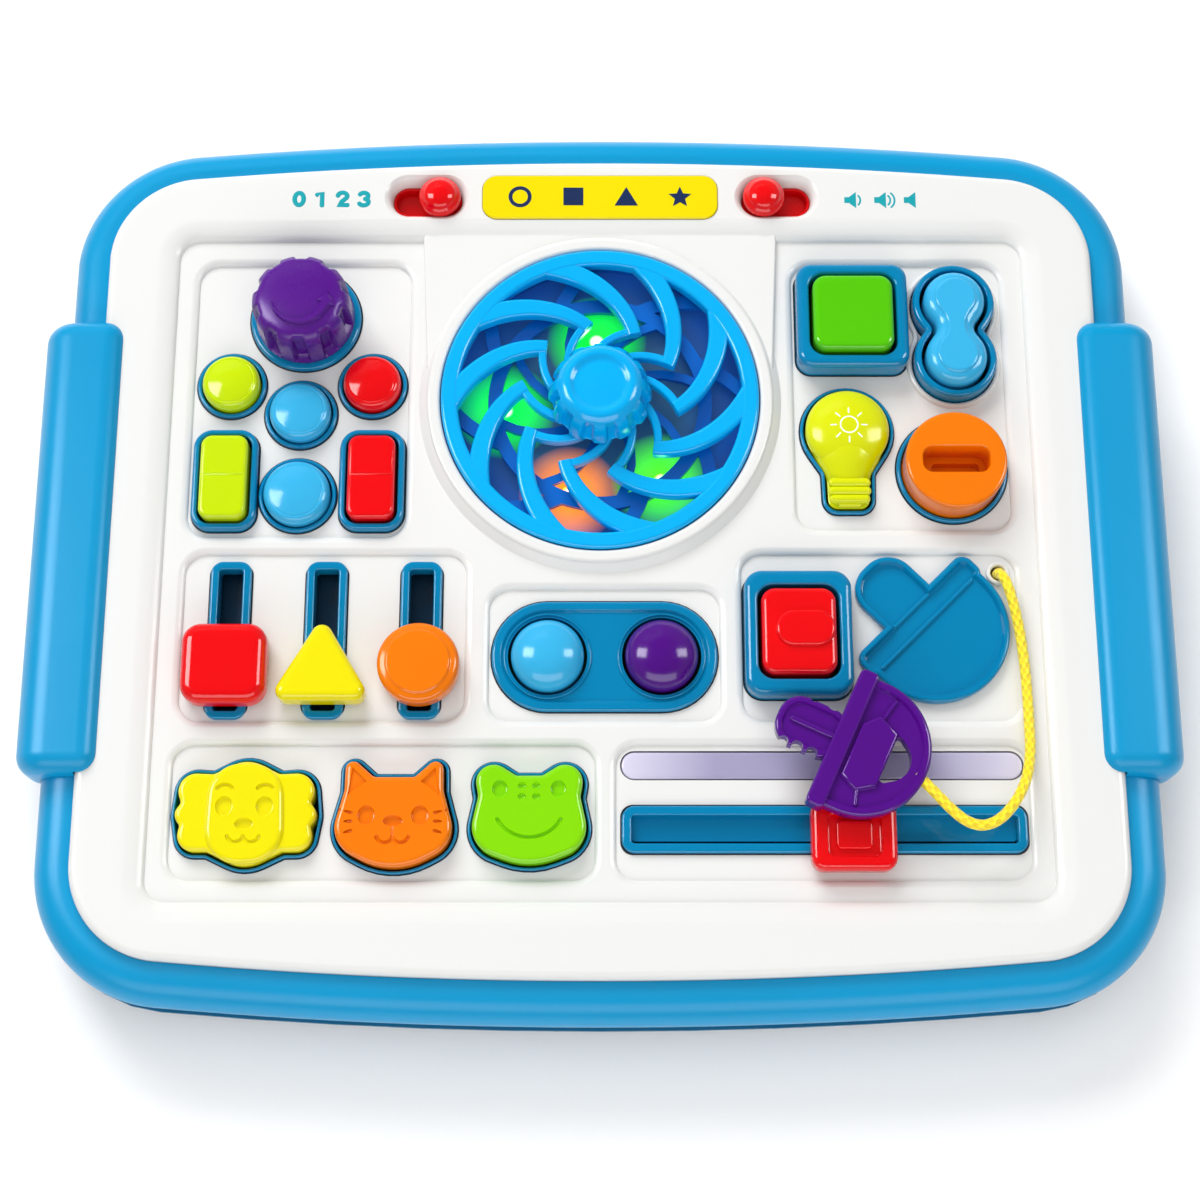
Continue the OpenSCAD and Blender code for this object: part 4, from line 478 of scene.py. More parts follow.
def track(at, w, slot_w, slot_l):
    """Frame of a slide round a lined slot, as wide on every side."""
    side = (w - slot_w) / 2
    profile = ([(side, tray_floor)] + corner(side - 0.8, 28, 0.8, 0, 90) + corner(0.6, 28.2, 0.6, 90, 180)
               + [(0, sleeve_end), (sleeve_wall, sleeve_end), (sleeve_wall, tray_floor)])
    return drawn(rows(plate(at, slot_w, slot_l, 1), profile), hoop=True)


rings = [turned([(r + grow, z) for grow, z in frame_profile(1.2, ring_top, 0.7, 0.5)], at, hoop=True)
         for at, r in round_places]
base_ring = ([(3.1, sleeve_end), (6, sleeve_end), (6, tray_floor), (16.4, tray_floor)]
             + corner(15.2, 27.9, 1.2, -10, 100) + [(3.1, ring_top)])
bezel("round_rings", merged(*rings, turned(base_ring, knob_at, hoop=True)), "round_bezels")
rocker_beds = [plate(at, 14.6, 26.4, 3.4) for at in rocker_places]
bezel("rocker_frames", merged(*[framed(bed, 1.8, 30.8, 1.1, 0.6) for bed in rocker_beds]), "rocker_bezels")
square_foot, switch_foot = (32.8, 32.8, 4.6), (30.6, 36.6, 5.2)
bezel("square_frame", tall_frame(square_at, (25.6, 25.6, 4.4), square_foot, 35.4), "square_bezel")
bezel("switch_frame", tall_frame(switch_at, (23.2, 27.4, 4.4), switch_foot, 34.4), "switch_bezel")
bezel("peanut_frame", framed(peanut, 2, 33.4, 1.2, 0.5, 1.1), "peanut_bezel")
bezel("bulb_frame", framed(bulb, 0.9, ring_top, 0.5, 0.3, 0.6), "bulb_bezel")
animal_frames = [framed(shape, 0.8, ring_top, 0.45, 0.3, 0.6) for shape in (dog_bed, cat, frog)]
bezel("animal_frames", merged(*animal_frames), "animal_bezels")
tracks = [track(at, 11.8, 6.8, 41.4) for at in track_places]
bezel("upright_tracks", merged(*tracks), "slider_tracks")

# Dust boxes: thin navy ABS trays, snapped on under the three upright slots, whose near-black navy is painted
# shade for the deep slots. They hide the works behind the sliders' feet.
# Moulded ABS: a near-black blue with a soft sheen, its darkness painted shade for the deep slots.
slot_shade_navy = moulded("navy_abs_painted_slot_shade", "#05304A", "#042A42", gloss=0.3)
box_floor = 19.8
box_wall = [(1, sleeve_end), (1, box_floor), (0, box_floor), (0, sleeve_end)]
dust = [drawn(rows(plate(at, 10.4, 44, 1), box_wall), hoop=True) for at in track_places]
dust += [drawn(rows(plate(at, 10.6, 44.2, 1), [(0, box_floor), (0, box_floor + 0.5)])) for at in track_places]
piece("dust_boxes", merged(*dust), slot_shade_navy)

# Long rail: a blue frame pressed into the near tray. It has a floor of its own, with a slit along its
# near wall for the slider's web.
channel = drawn(rows(plate((long_at[0], long_at[1] + 0.5), 107.2, 6.8, 0.9), [(0, sleeve_end), (0, 25.4)]))
bezel("long_rail", merged(track(long_at, 112.8, 107.3, 7.8), channel), "long_track")

# Dome pad: a flat blue plate with round ends, pressed into the middle tray. A rounded border runs
# along its edge, and each of its two holes has a sleeve that guides a dome.
pad_bed = plate((1.3, -31.2), 64.2, 32.2, 15.9)
pad = drawn(rows(pad_bed, [(0, tray_floor)] + corner(-1, 27.9, 1, 0, 90)
                 + [(-2.3, ring_top), (-2.6, 28.8), (-3, 28.2), (-3.3, 28.1), (-6, 28.1)], 5))
hole = [(0, 27), (11.3, 27), (11.3, 28.2), (11.7, 28.6), (11.7, 30), (0, 30)]
sleeve = ([(11.3, sleeve_end), (12, sleeve_end), (12, 28.2)] + corner(12.2, 28.4, 0.35, -20, 200)
          + [(11.3, 28.2)])
holes = [turned(hole, at) for at in (blue_dome_at, purple_dome_at)]
sleeves = [turned(sleeve, at, hoop=True) for at in (blue_dome_at, purple_dome_at)]
bezel("dome_pad", merged(carved(pad, *holes), *sleeves), "dome_plate")

# Seals: thin near-black rings under each bezel, standing in for the shadow of the gap at its foot. They show
# as a dark line of painted shade along its foot.
# Painted gap shade: near black and dull.
painted_gap_shade = moulded("near_black_painted_gap_shade", "#0A1A26", "#081620", gloss=0.5, grain=0.05)
gap_shade_low, gap_shade_top = 27.3, 27.6


def strip(inside, outside):
    """Section of a ring of painted gap shade from its inner to its outer edge."""
    return [(inside, gap_shade_low), (outside, gap_shade_low), (outside, gap_shade_top), (inside, gap_shade_top)]


gap_shade_rings = [turned(strip(r + 0.5, r + 1.9), at, hoop=True) for at, r in (*round_places, (knob_at, 14.9))]
gap_shade_rings += [drawn(rows(shape, strip(grow - 1, grow)), hoop=True) for shape, grow in (
    *[(bed, 2.5) for bed in rocker_beds], *[(plate(at, 11.8, 44.4, 3), 0.4) for at in track_places],
    (plate(square_at, *square_foot), 0.4), (plate(switch_at, *switch_foot), 0.4), (peanut, 3.45),
    (bulb, 1.85), (dog_bed, 1.75), (cat, 1.75), (frog, 1.75), (pad_bed, 0.4),
    (plate(long_at, 112.8, 13.3, 3.2), 0.4))]
piece("bezel_gap_shade_rings", merged(*gap_shade_rings), painted_gap_shade)


# Spinner: a bright blue ABS wheel of ten swept arms with a ribbed knob, moulded in two parts. It
# turns on a pin, over a darker fixed grille.
def bar_line(r0, a0, w0, r1, a1, w1, steps=14):
    """Middle points, side directions and half widths along a bar that sweeps between two radii."""
    line = []
    for k in range(steps + 1):
        t = k / steps
        r, a = r0 + (r1 - r0) * t, math.radians(a0 + (a1 - a0) * t)
        along = math.atan2(math.radians(a1 - a0) * r, r1 - r0) + a
        half = (w0 + (w1 - w0) * t) / 2
        line.append((r * math.cos(a), r * math.sin(a), -math.sin(along), math.cos(along), half))
    return line


def swept_bar(line, at, low, top, edge, limit):
    """Bar along a line with its top edges rounded over, cut off at a radius."""
    def loop(slim, z):
        """Outline of the bar at a height, made slimmer by a margin on each side."""
        points = [(x + s * u * (w - slim), y + s * v * (w - slim))
                  for s in (1, -1) for x, y, u, v, w in line[::s]]
        short = [min(1, limit / math.hypot(x, y)) for x, y in points]
        return [(at[0] + x * k, at[1] + y * k, z) for (x, y), k in zip(points, short)]
    return drawn([loop(0, low)] + [loop(edge + g, z) for g, z in corner(0, top - edge, edge, 180, 90, 4)])


def ribbed(at, profile, count, steps):
    """Knob with ribs and pockets all round: rows of a radius, a height and the depth of the pockets."""
    loops = []
    for r, z, depth in profile:
        loop = []
        for k in range(steps):
            a = math.tau * k / steps
            rise = min(1, max(0, (math.cos(count * a) + 0.55) / 0.7))
            reach = r - depth * (1 - rise * rise * (3 - 2 * rise))
            loop.append((at[0] + reach * math.cos(a), at[1] + reach * math.sin(a), z))
        loops.append(loop)
    return drawn(loops)


# Bright ABS for the wheel and deep blue ABS for the grille: both glossy, with sharp small lights.
fan_abs = moulded("bright_blue_abs", "#00AEEC", "#00A6EA", gloss=0.12)
wheel_low, arm_count, ring_inside = 28.8, 10, 44.6
fan_ring = ([(41.7, wheel_low), (46.6, wheel_low)] + corner(45.4, 31.4, 1.2, 0, 90)
            + corner(42.9, 31.4, 1.2, 90, 180))
hub = [(3.1, wheel_low), (12, wheel_low), (12, 32.6), (3.1, 32.6)]
wheel = [turned(fan_ring, spinner_at, 144, hoop=True), turned(hub, spinner_at, hoop=True)]
for k in range(arm_count):
    a = 32.8 + 360 / arm_count * k
    outer_arm = bar_line(47.5, a + 12.3, 6.6, 22.2, a - 42, 4.2, 20)
    inner_arm = bar_line(23.8, a - 43, 2.4, 11, a + 2, 2.4)
    wheel.append(swept_bar(outer_arm, spinner_at, wheel_low, 32.4, 1.2, ring_inside))
    wheel.append(swept_bar(inner_arm, spinner_at, wheel_low, 32, 0.7, ring_inside))
piece("fan_wheel", merged(*wheel), fan_abs, "spinner", ["spinner_wheel"])
grip = [(12, 32.6, 0), (14.8, 32.7, 0.8), (15.1, 33.2, 1.6), (14.8, 35, 1.8), (14.2, 37.4, 1.8),
        (13.7, 39, 1.5), (13.1, 40.2, 0.9), (12.3, 41.4, 0.1), (11.3, 42.5, 0), (10.3, 43.2, 0),
        (9.3, 43.5, 0), (8.5, 43.3, 0), (7.9, 42.7, 0), (7.2, 42.4, 0), (6.4, 42.4, 0), (4, 42.8, 0),
        (2, 43, 0), (0.8, 43.05, 0)]
piece("fan_knob", ribbed(spinner_at, grip, 12, 240), fan_abs, "spinner", ["spinner_knob"])
dress("light_grille", moulded("deep_blue_abs", "#066CCC", "#0564C0", gloss=0.16))


# Lamp bowl and lamps: a smoky polycarbonate bowl under the grille, which keeps its solid, with four epoxy
# lamps that shine up through it, the glow about them painted on the bowl. Six small lamps on the board light
# the bar in the near tray.
def halo(tree, x, y, z, reach):
    """Strength of a soft ball of light about a place: one at its middle, nothing past its reach."""
    place = add(tree, "ShaderNodeTexCoord").outputs["Object"]
    near = add(tree, "ShaderNodeMapping",
               {"Vector": place, "Location": (x * MM, y * MM, z * MM), "Scale": [reach * MM] * 3},
               vector_type="TEXTURE")
    ball = add(tree, "ShaderNodeTexGradient", {"Vector": near.outputs["Vector"]}, gradient_type="SPHERICAL")
    return ball.outputs["Fac"]


lamp_foot = 22.3
lamp_places = ((-1, 67.3, "#06EC28"), (-28, 45.3, "#06E838"), (18, 23.3, "#46EC0A"), (-9, 19.3, "#FF8A00"))

# Smoky polycarbonate: grey in the middle and deep blue towards the wheel's ring as painted shade, with a
# faint painted glow all over, and painted lamp light about each lamp over some 15 mm, in both its colour and
# its glow.
smoky = moulded("smoky_polycarbonate", "#3C6478", "#365C70", ior=1.45)
tree = smoky.node_tree
shader = tree.nodes["Principled BSDF"]
painted_ring_shade_mask = add(tree, "ShaderNodeMapRange",
             {"Value": halo(tree, *spinner_at, 22, 47), "From Min": 0.05, "From Max": 0.5})
shade = add(tree, "ShaderNodeMixRGB", {"Fac": painted_ring_shade_mask.outputs["Result"], "Color1": linear("#0A50B8"),
                                       "Color2": shader.inputs["Base Color"].links[0].from_socket})
base, glow = shade.outputs["Color"], linear("#08203E")
# Painted lamp light: near each lamp the bowl's colour and glow turn to that lamp's colour.
for x, y, colour in lamp_places:
    fall = add(tree, "ShaderNodeMath", {0: halo(tree, x, y, lamp_foot, 15), 1: 0.9}, operation="POWER")
    base, glow = [add(tree, "ShaderNodeMixRGB", {"Fac": fall.outputs[0], "Color1": under,
                                                 "Color2": linear(colour)}).outputs["Color"]
                  for under in (base, glow)]
tree.links.new(base, shader.inputs["Base Color"])
tree.links.new(glow, shader.inputs["Emission Color"])
shader.inputs["Emission Strength"].default_value = 1.7
dress("light_bowl", smoky)

for k, (x, y, colour) in enumerate(lamp_places):
    # Lit epoxy: white at the lens's crown and coloured towards its rim, 2.6 mm away.
    led, tree, shader = started(f"lit_led_epoxy_{k + 1}")
    light = add(tree, "ShaderNodeMixRGB",
                {"Fac": halo(tree, x, y, 24, 2.6), "Color1": linear(colour), "Color2": linear("#FFFFF0")})
    tree.links.new(light.outputs["Color"], shader.inputs["Emission Color"])
    shader.inputs["Emission Strength"].default_value = 5
    shader.inputs["Base Color"].default_value = linear(colour)
    bead = [(0, lamp_foot), (2.4, lamp_foot), (2.4, 22.7)] + corner(0, 22.7, 1.3, 0, 90)
    piece(f"fan_led_{k + 1}", turned(bead, (x, y), 32), led,
          nodes=["light_emitters"] if k == 0 else ())

# Lamp package: pale, slightly glossy moulded resin.
chip = moulded("white_led_package", "#D6D5DB", "#CDCCD4", gloss=0.3)
chip_count = 6
chips = [drawn(rows(plate((bar_at[0] + (k - 2.5) * 113 / chip_count, bar_at[1]), 3.5, 3.5, 0.4),
                    [(0, 12.6), (0, 14.3), (-0.3, 14.6)])) for k in range(chip_count)]
piece("bar_leds", merged(*chips), chip)


# Round push buttons and domes: turned-looking caps of glossy ABS, each moulded hollow and set in a
# ring, on a spring over one of the board's switches.
cap_low, dome_r = 24.4, 10.4


def cap(at, r, top):
    """Round cap: upright skirt, sloped shoulder and a slightly crowned top with a fine edge."""
    shoulder = [(1, 3.6), (0.99, 3.05), (0.965, 2.45), (0.925, 1.85), (0.88, 1.48), (0.835, 1.26),
                (0.815, 1.3), (0.795, 1.3), (0.775, 1.16), (0.75, 1.05), (0.6, 0.68), (0.4, 0.3), (0.2, 0.08),
                (0, 0)]
    return turned([(0, cap_low), (r, cap_low)] + [(r * t, top - d) for t, d in shoulder], at)


# Polished ABS in lime, red, light blue and purple: full colours with crisp windows of light.
lime_abs = moulded("lime_polished_abs", "#C4DF00", "#BED900", gloss=0.13)
red_abs = moulded("red_polished_abs", "#E7050C", "#E1040C", gloss=0.11)
sky_abs = moulded("light_blue_polished_abs", "#38B0E2", "#32A9DA", gloss=0.15)
purple_abs = moulded("purple_polished_abs", "#4D0880", "#480779", gloss=0.16)
for (at, r), name, finish, slot in zip(
        round_places, ("lime_button", "red_button", "upper_blue_button", "lower_blue_button"),
        (lime_abs, red_abs, sky_abs, sky_abs),
        ("lime_plastic", "red_plastic", "light_blue_plastic", "light_blue_plastic")):
    piece(name + "_cap", cap(at, r - 0.15, 33.6), finish, name, [name])
for name, at, finish, slot in (("blue_dome", blue_dome_at, sky_abs, "light_blue_plastic"),
                               ("purple_dome", purple_dome_at, purple_abs, "purple_plastic")):
    crown = [(0, cap_low), (dome_r, cap_low)] + corner(0, 28.6, dome_r, 0, 84, 14, rise=6.8) + [(0, 35.4)]
    piece(name + "_cap", turned(crown, at), finish, name, [name])

# Lock: a drum of orange ABS that turns a quarter in its ring. A rounded slot in its top takes the toy
# key, with a narrow keyway at its bottom.
# Polished ABS: warm orange with crisp lights.
orange_abs = moulded("orange_polished_abs", "#EE7A00", "#EA7400", gloss=0.13)
barrel = turned([(0, 24), (14.6, 24)] + corner(13.5, 37.1, 1.1, 0, 90)
                + [(12.4, 38.25), (6, 38.36), (0, 38.4)], lock_at)
slot_cut = drawn(rows(plate(lock_at, 19, 7.4, 2.7),
                      [(0, 28.9), (0, 37.6), (0.25, 38.1), (0.6, 38.4), (0.7, 40)]))
keyway = drawn(rows(plate((lock_at[0] + 1, lock_at[1] - 0.4), 14, 4.4, 1.4), [(0, 25.4), (0, 29.4)]))
piece("lock_barrel", carved(carved(barrel, slot_cut), keyway), orange_abs, "lock_cylinder",
      ["lock_cylinder"])

# Rotary knob: a purple ABS cup with ten flutes, pushed on to the shaft of an encoder. A tapering
# crescent with an arrow's head is raised on its top.
# Satin ABS: purple with wide, soft lights from a blasted mould.
purple_satin = moulded("purple_satin_abs", "#530C87", "#4D0A80", gloss=0.27, grain=0.02, ior=1.46)
knob_rows = [(14.3, 29.2, 0), (14.5, 29.6, 0), (14.6, 30.1, 0), (14.6, 30.5, 1.2), (14.6, 31.4, 2.3),
             (14.5, 35, 2.4), (14.4, 38.5, 2.3), (14.3, 40.4, 2), (14.1, 41.7, 1.6), (13.7, 42.8, 1.1),
             (13, 43.7, 0.5), (12.2, 44.4, 0.1), (11.2, 44.95, 0), (9.8, 45.35, 0), (7.8, 45.69, 0),
             (5, 45.93, 0), (2.6, 46.05, 0), (0.8, 46.1, 0)]
crescent_r, knob_crown, board_height = 8.2, 46.1, 46.8
sections = []
for k in range(37):
    a = math.radians(196 + 172 * k / 36)
    half = 0.35 + 1.15 * k / 30 if k < 31 else 2.6 * (36.4 - k) / 5.4
    across = [(-half, -0.6), (-half, 0.3), (-0.5 * half, 1.05), (0.5 * half, 1.05), (half, 0.3), (half, -0.6)]
    sections.append([(knob_at[0] + (crescent_r + w) * math.cos(a),
                      knob_at[1] + (crescent_r + w) * math.sin(a),
                      min(board_height, knob_crown - 0.0068 * (crescent_r + w) ** 2 + h))
                     for w, h in across])
piece("fluted_knob", merged(ribbed(knob_at, knob_rows, 10, 280), drawn(sections)), purple_satin,
      "rotary_knob", ["rotary_knob"])


# Rockers, square and peanut: shaped caps of glossy ABS, moulded hollow with an upright skirt and a
# soft edge. The rockers and the peanut tilt on a cross pin, and the square is pressed.
def soft_cap(circles, top, edge):
    """Cap with the outline of its opening and a rounded top edge."""
    profile = [(0, cap_low)] + corner(-edge, top - edge, edge, 0, 90) + [(-edge - 0.4, top)]
    return drawn(rows(circles, profile, 7))


def heading(points, k):
    """Direction of a line at one of its points."""
    return (points[min(k + 1, len(points) - 1)] - points[max(k - 1, 0)]).normalized()


def around(p, d, r, sides):
    """Points of a circle about a point, square to a direction."""
    u = d.cross(Vector((0, 1, 0) if abs(d.z) > 0.9 else (0, 0, 1))).normalized()
    v = u.cross(d)
    turns = [math.tau * k / sides for k in range(sides)]
    return [p + (u * math.cos(a) + v * math.sin(a)) * r for a in turns]


def swept(path, r, sides=12):
    """Round rod along points, with rounded ends."""
    points = [Vector(p) for p in path]
    ways = [heading(points, k) for k in range(len(points))]
    tip = (0.35, 0.8, 1.2)
    stations = [(points[0] - ways[0] * r * math.cos(a), ways[0], r * math.sin(a)) for a in tip]
    stations += [(p, d, r) for p, d in zip(points, ways)]
    stations += [(points[-1] + ways[-1] * r * math.cos(a), ways[-1], r * math.sin(a)) for a in tip[::-1]]
    return drawn([around(p, d, reach, sides) for p, d, reach in stations])


# Polished green ABS: a full colour with crisp lights.
green_abs = moulded("green_polished_abs", "#54C206", "#4FBB05", gloss=0.1)
for name, (x, y), finish, slot in (("lime_rocker", rocker_places[0], lime_abs, "lime_plastic"),
                                   ("red_rocker", rocker_places[1], red_abs, "red_plastic")):
    crease = swept([(x - 8, y + 0.4, 33.5), (x + 8, y + 0.4, 33.5)], 0.3)
    rocker = carved(soft_cap(plate((x, y), 13.7, 25.4, 3.2), 33.4, 1.4), crease)
    piece(name + "_cap", rocker, finish, name, [name])
piece("square_cap", soft_cap(plate(square_at, 23.6, 23.6, 4), 37.4, 1.8), green_abs,
      "square_button", ["square_button"])
peanut_rows = [(0, 24), (0, 33.6), (-0.2, 34.6), (-0.7, 35.6), (-1.5, 36.4), (-2.4, 36.8), (-2.8, 36.9),
               (-3.1, 37.3), (-3.5, 37.55), (-4, 37.6)]
piece("peanut_cap", drawn(rows(peanut, peanut_rows, 6)), sky_abs, "peanut_rocker",
      ["peanut_rocker"])

# Bulb button: one yellow-green ABS cap, pressed like the others. Its glass is a dome, its neck runs
# down to three screw ridges, and a plain skirt is under all.
# Polished ABS: a sharp yellow-green with a soft window of light.
bulb_abs = moulded("yellow_lime_polished_abs", "#D6DE00", "#D1D800", gloss=0.17)
bx, by = bulb_at
glass_r, glass_rise, bulb_crown = 12.2, 5.2, 34.9
glass = turned([(0, 26)] + corner(0, bulb_crown - glass_rise, glass_r, 0, 84, 14, glass_rise)
               + [(0, bulb_crown)], bulb_at)
neck = drawn([[(bx + x, by + y, z) for x, z in corner(0, 27.8, w, 0, 180, 20, h)] for y, w, h in (
    (-4, 10.6, 6.6), (-7, 10, 6.3), (-9.4, 9, 5.8), (-11.4, 7.8, 5.3), (-13.2, 6.8, 4.6), (-15, 6.2, 3.9),
    (-16.4, 5.8, 3))])
screw = [swept([(bx - w, by + y, z), (bx + w, by + y, z)], r, 20) for y, w, r, z in (
    (-16.6, 4.8, 1.35, 31), (-19.1, 4.9, 1.35, 30.9), (-21.5, 4.6, 1.3, 30.8), (-22.9, 2.6, 0.9, 30.2))]
core = drawn(rows(plate((bx, by - 19.4), 10.2, 7, 2), [(0, 26), (0, 30.2), (-0.6, 30.6)]))
skirt = drawn(rows(bulb, [(-0.1, cap_low), (-0.1, 28.4), (-0.9, 28.9)]))
piece("bulb_cap", merged(glass, neck, core, skirt, *screw), bulb_abs, "bulb_button",
      ["bulb_button"])

# Switch: a red ABS cap in the tall frame by the key's tray. It is pressed like a light switch, and a
# rounded pad is raised on it for a finger.
finger_pad = drawn(rows(plate((57.9, -24.9), 16.9, 10.6, 5.2),
                        [(0, 35)] + corner(-1.2, 35.8, 1.2, 0, 90) + [(-2.4, 37.1)]))
piece("switch_top", merged(soft_cap(plate(switch_at, 21.2, 25.2, 4), 35.8, 1.9), finger_pad), red_abs,
      "switch_cap", ["switch_cap"])


# Animals: a dog, a cat and a frog, pressed caps of glossy ABS. Their faces are sunk into the tops by
# the mould, and the dog's head stands above its ears.
animal_top, line_z, mouth_r, left_right = 33.4, 33.2, 0.62, (-1, 1)


def dish(x, y, w, l, depth=1.1):
    """Oval cutter for a sunk eye or nose, with a steep side and a flat floor."""
    steps = ((-0.4, -depth), (-0.12, -depth + 0.15), (0, -0.35), (0.15, -0.02), (0.35, 0.4))
    return drawn([level(corner(x, y, w / 2 + g, 0, 350, 35, l / 2 + g), animal_top + h) for g, h in steps])


def arc_path(x, y, w, l, start, end, z, count=12):
    """Points along part of an oval."""
    return level(corner(x, y, w, start, end, count, l), z)


# Polished ABS in yellow, orange and yellow-green: full colours, which deepen in the sunk lines.
yellow_abs = moulded("yellow_polished_abs", "#EADF00", "#E6D900", gloss=0.12)
frog_abs = moulded("yellow_green_polished_abs", "#84D800", "#7ED000", gloss=0.12)
dx, dy = dog_at
dog = moved(both_sides([(0, -4.2, 10.4)],
                       [(10.9, -12.4, -1.8), (14, -6, 4.6), (19.45, -3.68, -1.2), (16.3, -0.3, 3.3),
                        (19.38, 3.15, -1.2), (13.9, 6.3, 5), (9.6, 12.9, -1.8)], [(0, 5.2, 9.4)]), dog_at)
head = drawn(rows(moved([(-1.2, -4.4, 9.8), (1.2, -4.4, 9.8), (1.2, 4.4, 9.5), (-1.2, 4.4, 9.5)], dog_at),
                  [(0, 29)] + corner(-1.7, 31.7, 1.7, 0, 90) + [(-2.2, animal_top)], 6))
dog_face = [dish(dx + s * 5.6, dy + 1.6, 4.6, 5.4) for s in left_right] + [dish(dx, dy - 3.3, 4.9, 3.2)]
dog_face += [swept(arc_path(dx + s * 5.6, dy + 6, 2.2, 1.6, 25, 155, line_z), 0.65) for s in left_right]
dog_face += [swept(arc_path(dx + s * 2.2, dy - 6.4, 2.2, 1.9, 190, 350, line_z), mouth_r) for s in left_right]
dog_cap = carved(soft_cap(dog, 31.9, 1.5), head, operation="UNION")
piece("dog_cap", carved(dog_cap, *dog_face, crossing=True), yellow_abs, "dog_button",
      ["dog_button"])

cx, cy = cat_at
cat_face = [dish(cx + s * 7.4, cy - 0.9, 4.5, 5.2) for s in left_right] + [dish(cx, cy - 2.5, 5.2, 2.9)]
cat_face += [swept(arc_path(cx + s * 2.2, cy - 6.6, 2.2, 1.9, 190, 350, line_z), mouth_r) for s in left_right]
cat_face += [swept([(cx, cy - 3.8, 33.25), (cx, cy - 6.6, 33.25)], 0.5)]
cat_face += [swept([(cx + s * 11.6, cy + y, line_z), (cx + s * 15, cy + y + d, 32.6)], 0.55)
             for s in left_right for y, d in ((-0.2, 0.9), (-2.6, 0), (-5.2, -1))]
cat_face += [drawn([[(cx + s * x * k + s * 10.6 * (1 - k), cy + y * k + 8.6 * (1 - k), z)
                     for x, y in ((7.4, 8.6), (12.8, 4.6), (11.5, 12.6))]
                    for k, z in ((0.8, 32.6), (0.92, 32.8), (1, 33.6))]) for s in left_right]
piece("cat_cap", carved(soft_cap(cat, animal_top, 1.6), *cat_face, crossing=True), orange_abs,
      "cat_button", ["cat_button"])

gx, gy = frog_at
frog_face = [dish(gx + s * 8.1, gy + 6.5, 4, 4.5) for s in left_right]
frog_face += [dish(gx + x, gy + y, 2, 1.7, depth=0.8) for x, y in ((-2, 7.3), (2, 7.3), (-2, 4.3), (2, 4.3))]
frog_face += [swept(arc_path(gx, gy + 1.6, 9.6, 8.6, 205, 335, line_z, 24), mouth_r)]
piece("frog_cap", carved(soft_cap(frog, animal_top, 1.6), *frog_face), frog_abs,
      "frog_button", ["frog_button"])


# Upright sliders: chunky ABS caps, a square, a triangle and a puck, that run along the tracks. Each is
# moulded with a stem through its slot, and is held by a foot snapped on below.
def slide_cap(circles, top, edge):
    """Cap that clears its track, with a small lower edge and a large rounded top edge."""
    low = 29.1
    return drawn(rows(circles, [(-0.8, low), (-0.2, low + 0.3), (0, low + 0.9)]
                      + corner(-edge, top - edge, edge, 0, 90) + [(-edge - 0.5, top)], 7))


def stem(at, w=6.2, l=7):
    """Stem and foot of a slider inside the case."""
    return merged(drawn(rows(plate(at, w, l, 0.6), [(0, 22.5), (0, 30)])),
                  drawn(rows(plate(at, w + 3, l + 3, 0.8), [(0, 21.6), (0, 22.9)])))


square_rest, triangle_rest, puck_rest = [(x, -34.7) for x, y in track_places]
square_block = slide_cap(plate(square_rest, 24, 23, 5.4), 37, 3.4)
triangle_block = slide_cap(moved([(-9.5, -8, 3), (9.5, -8, 3), (0, 8, 3)], triangle_rest), 37, 2.4)
puck = turned([(0, 29.1), (10.8, 29.1), (11.4, 29.5), (11.6, 30.2)] + corner(9.6, 34.2, 2, 0, 74, 8)
              + [(9.4, 36.3), (9.1, 36.5), (8.9, 36.8), (8.5, 36.98), (0, 37)], puck_rest)
for name, at, top, finish, slot in (
        ("square_slider", square_rest, square_block, red_abs, "red_plastic"),
        ("triangle_slider", triangle_rest, triangle_block, yellow_abs, "yellow_plastic"),
        ("round_slider", puck_rest, puck, orange_abs, "orange_plastic")):
    piece(name + "_cap", merged(top, stem(at)), finish, name, [name])

# Long slider: a red ABS block with a sunk panel in its top and a raised tile in the panel. It hangs
# over the long rail on a thin web through the slit.
long_rest = (69.8, -83.4)
panel_cut = drawn(rows(plate(long_rest, 14.4, 12, 2), [(-0.4, 34.2), (0, 34.5), (0.3, 35.7), (0.4, 37)]))
raised_tile = drawn(rows(plate(long_rest, 10, 8, 1.4),
                         [(0, 34)] + corner(-0.6, 34.8, 0.6, 0, 90) + [(-1, 35.4)]))
web = drawn(rows(plate((69.8, -84.2), 9, 0.6, 0.2), [(0, 22.5), (0, 30)]))
long_block = carved(slide_cap(plate(long_rest, 23.6, 19.4, 3.6), 35.8, 2), panel_cut)
piece("long_slider_cap", merged(long_block, raised_tile, web), red_abs, "long_slider",
      ["long_slider"])

# Header switches: two round red knobs that slide in red wells by the label, whose deeper red is painted
# shade. The wells are ABS cups, clipped in from behind, and each knob has a flat stem into its switch.
for name, x in (("mode_slider", -48.1), ("volume_slider", 49.2)):
    at = (x, 110.4)
    ball = turned([(0, 30.7), (5.4, 30.7), (6.2, 31.4), (6.3, 32.2), (6.1, 33), (5.6, 33.6)]
                  + corner(0, 33.4, 5.2, 10, 80, 7, rise=3.2) + [(0, 36.6)], at, 64)
    tang = drawn(rows(plate(at, 4.4, 3, 0.5), [(0, 24), (0, 31)]))
    piece(name + "_ball", merged(ball, tang), red_abs, name, [name])
# Moulded ABS: a deep red, darker than the knobs' as painted shade down in the wells, and dull.
well_shade_red = moulded("red_abs_painted_well_shade", "#CC040A", "#C40309", gloss=0.3, ior=1.3)
cup = [(1.2, 24.6), (1.2, 25.6), (0, 25.6), (0, 27.9), (-0.3, 28.1), (-0.7, 28), (-1, 27.6), (-1.2, 25.4)]
wells = [drawn(rows(plate(at, 20.6, 9.8, 4.8), cup)) for at in (mode_at, volume_at)]
piece("red_wells", merged(*wells), well_shade_red, nodes=["switch_wells"])


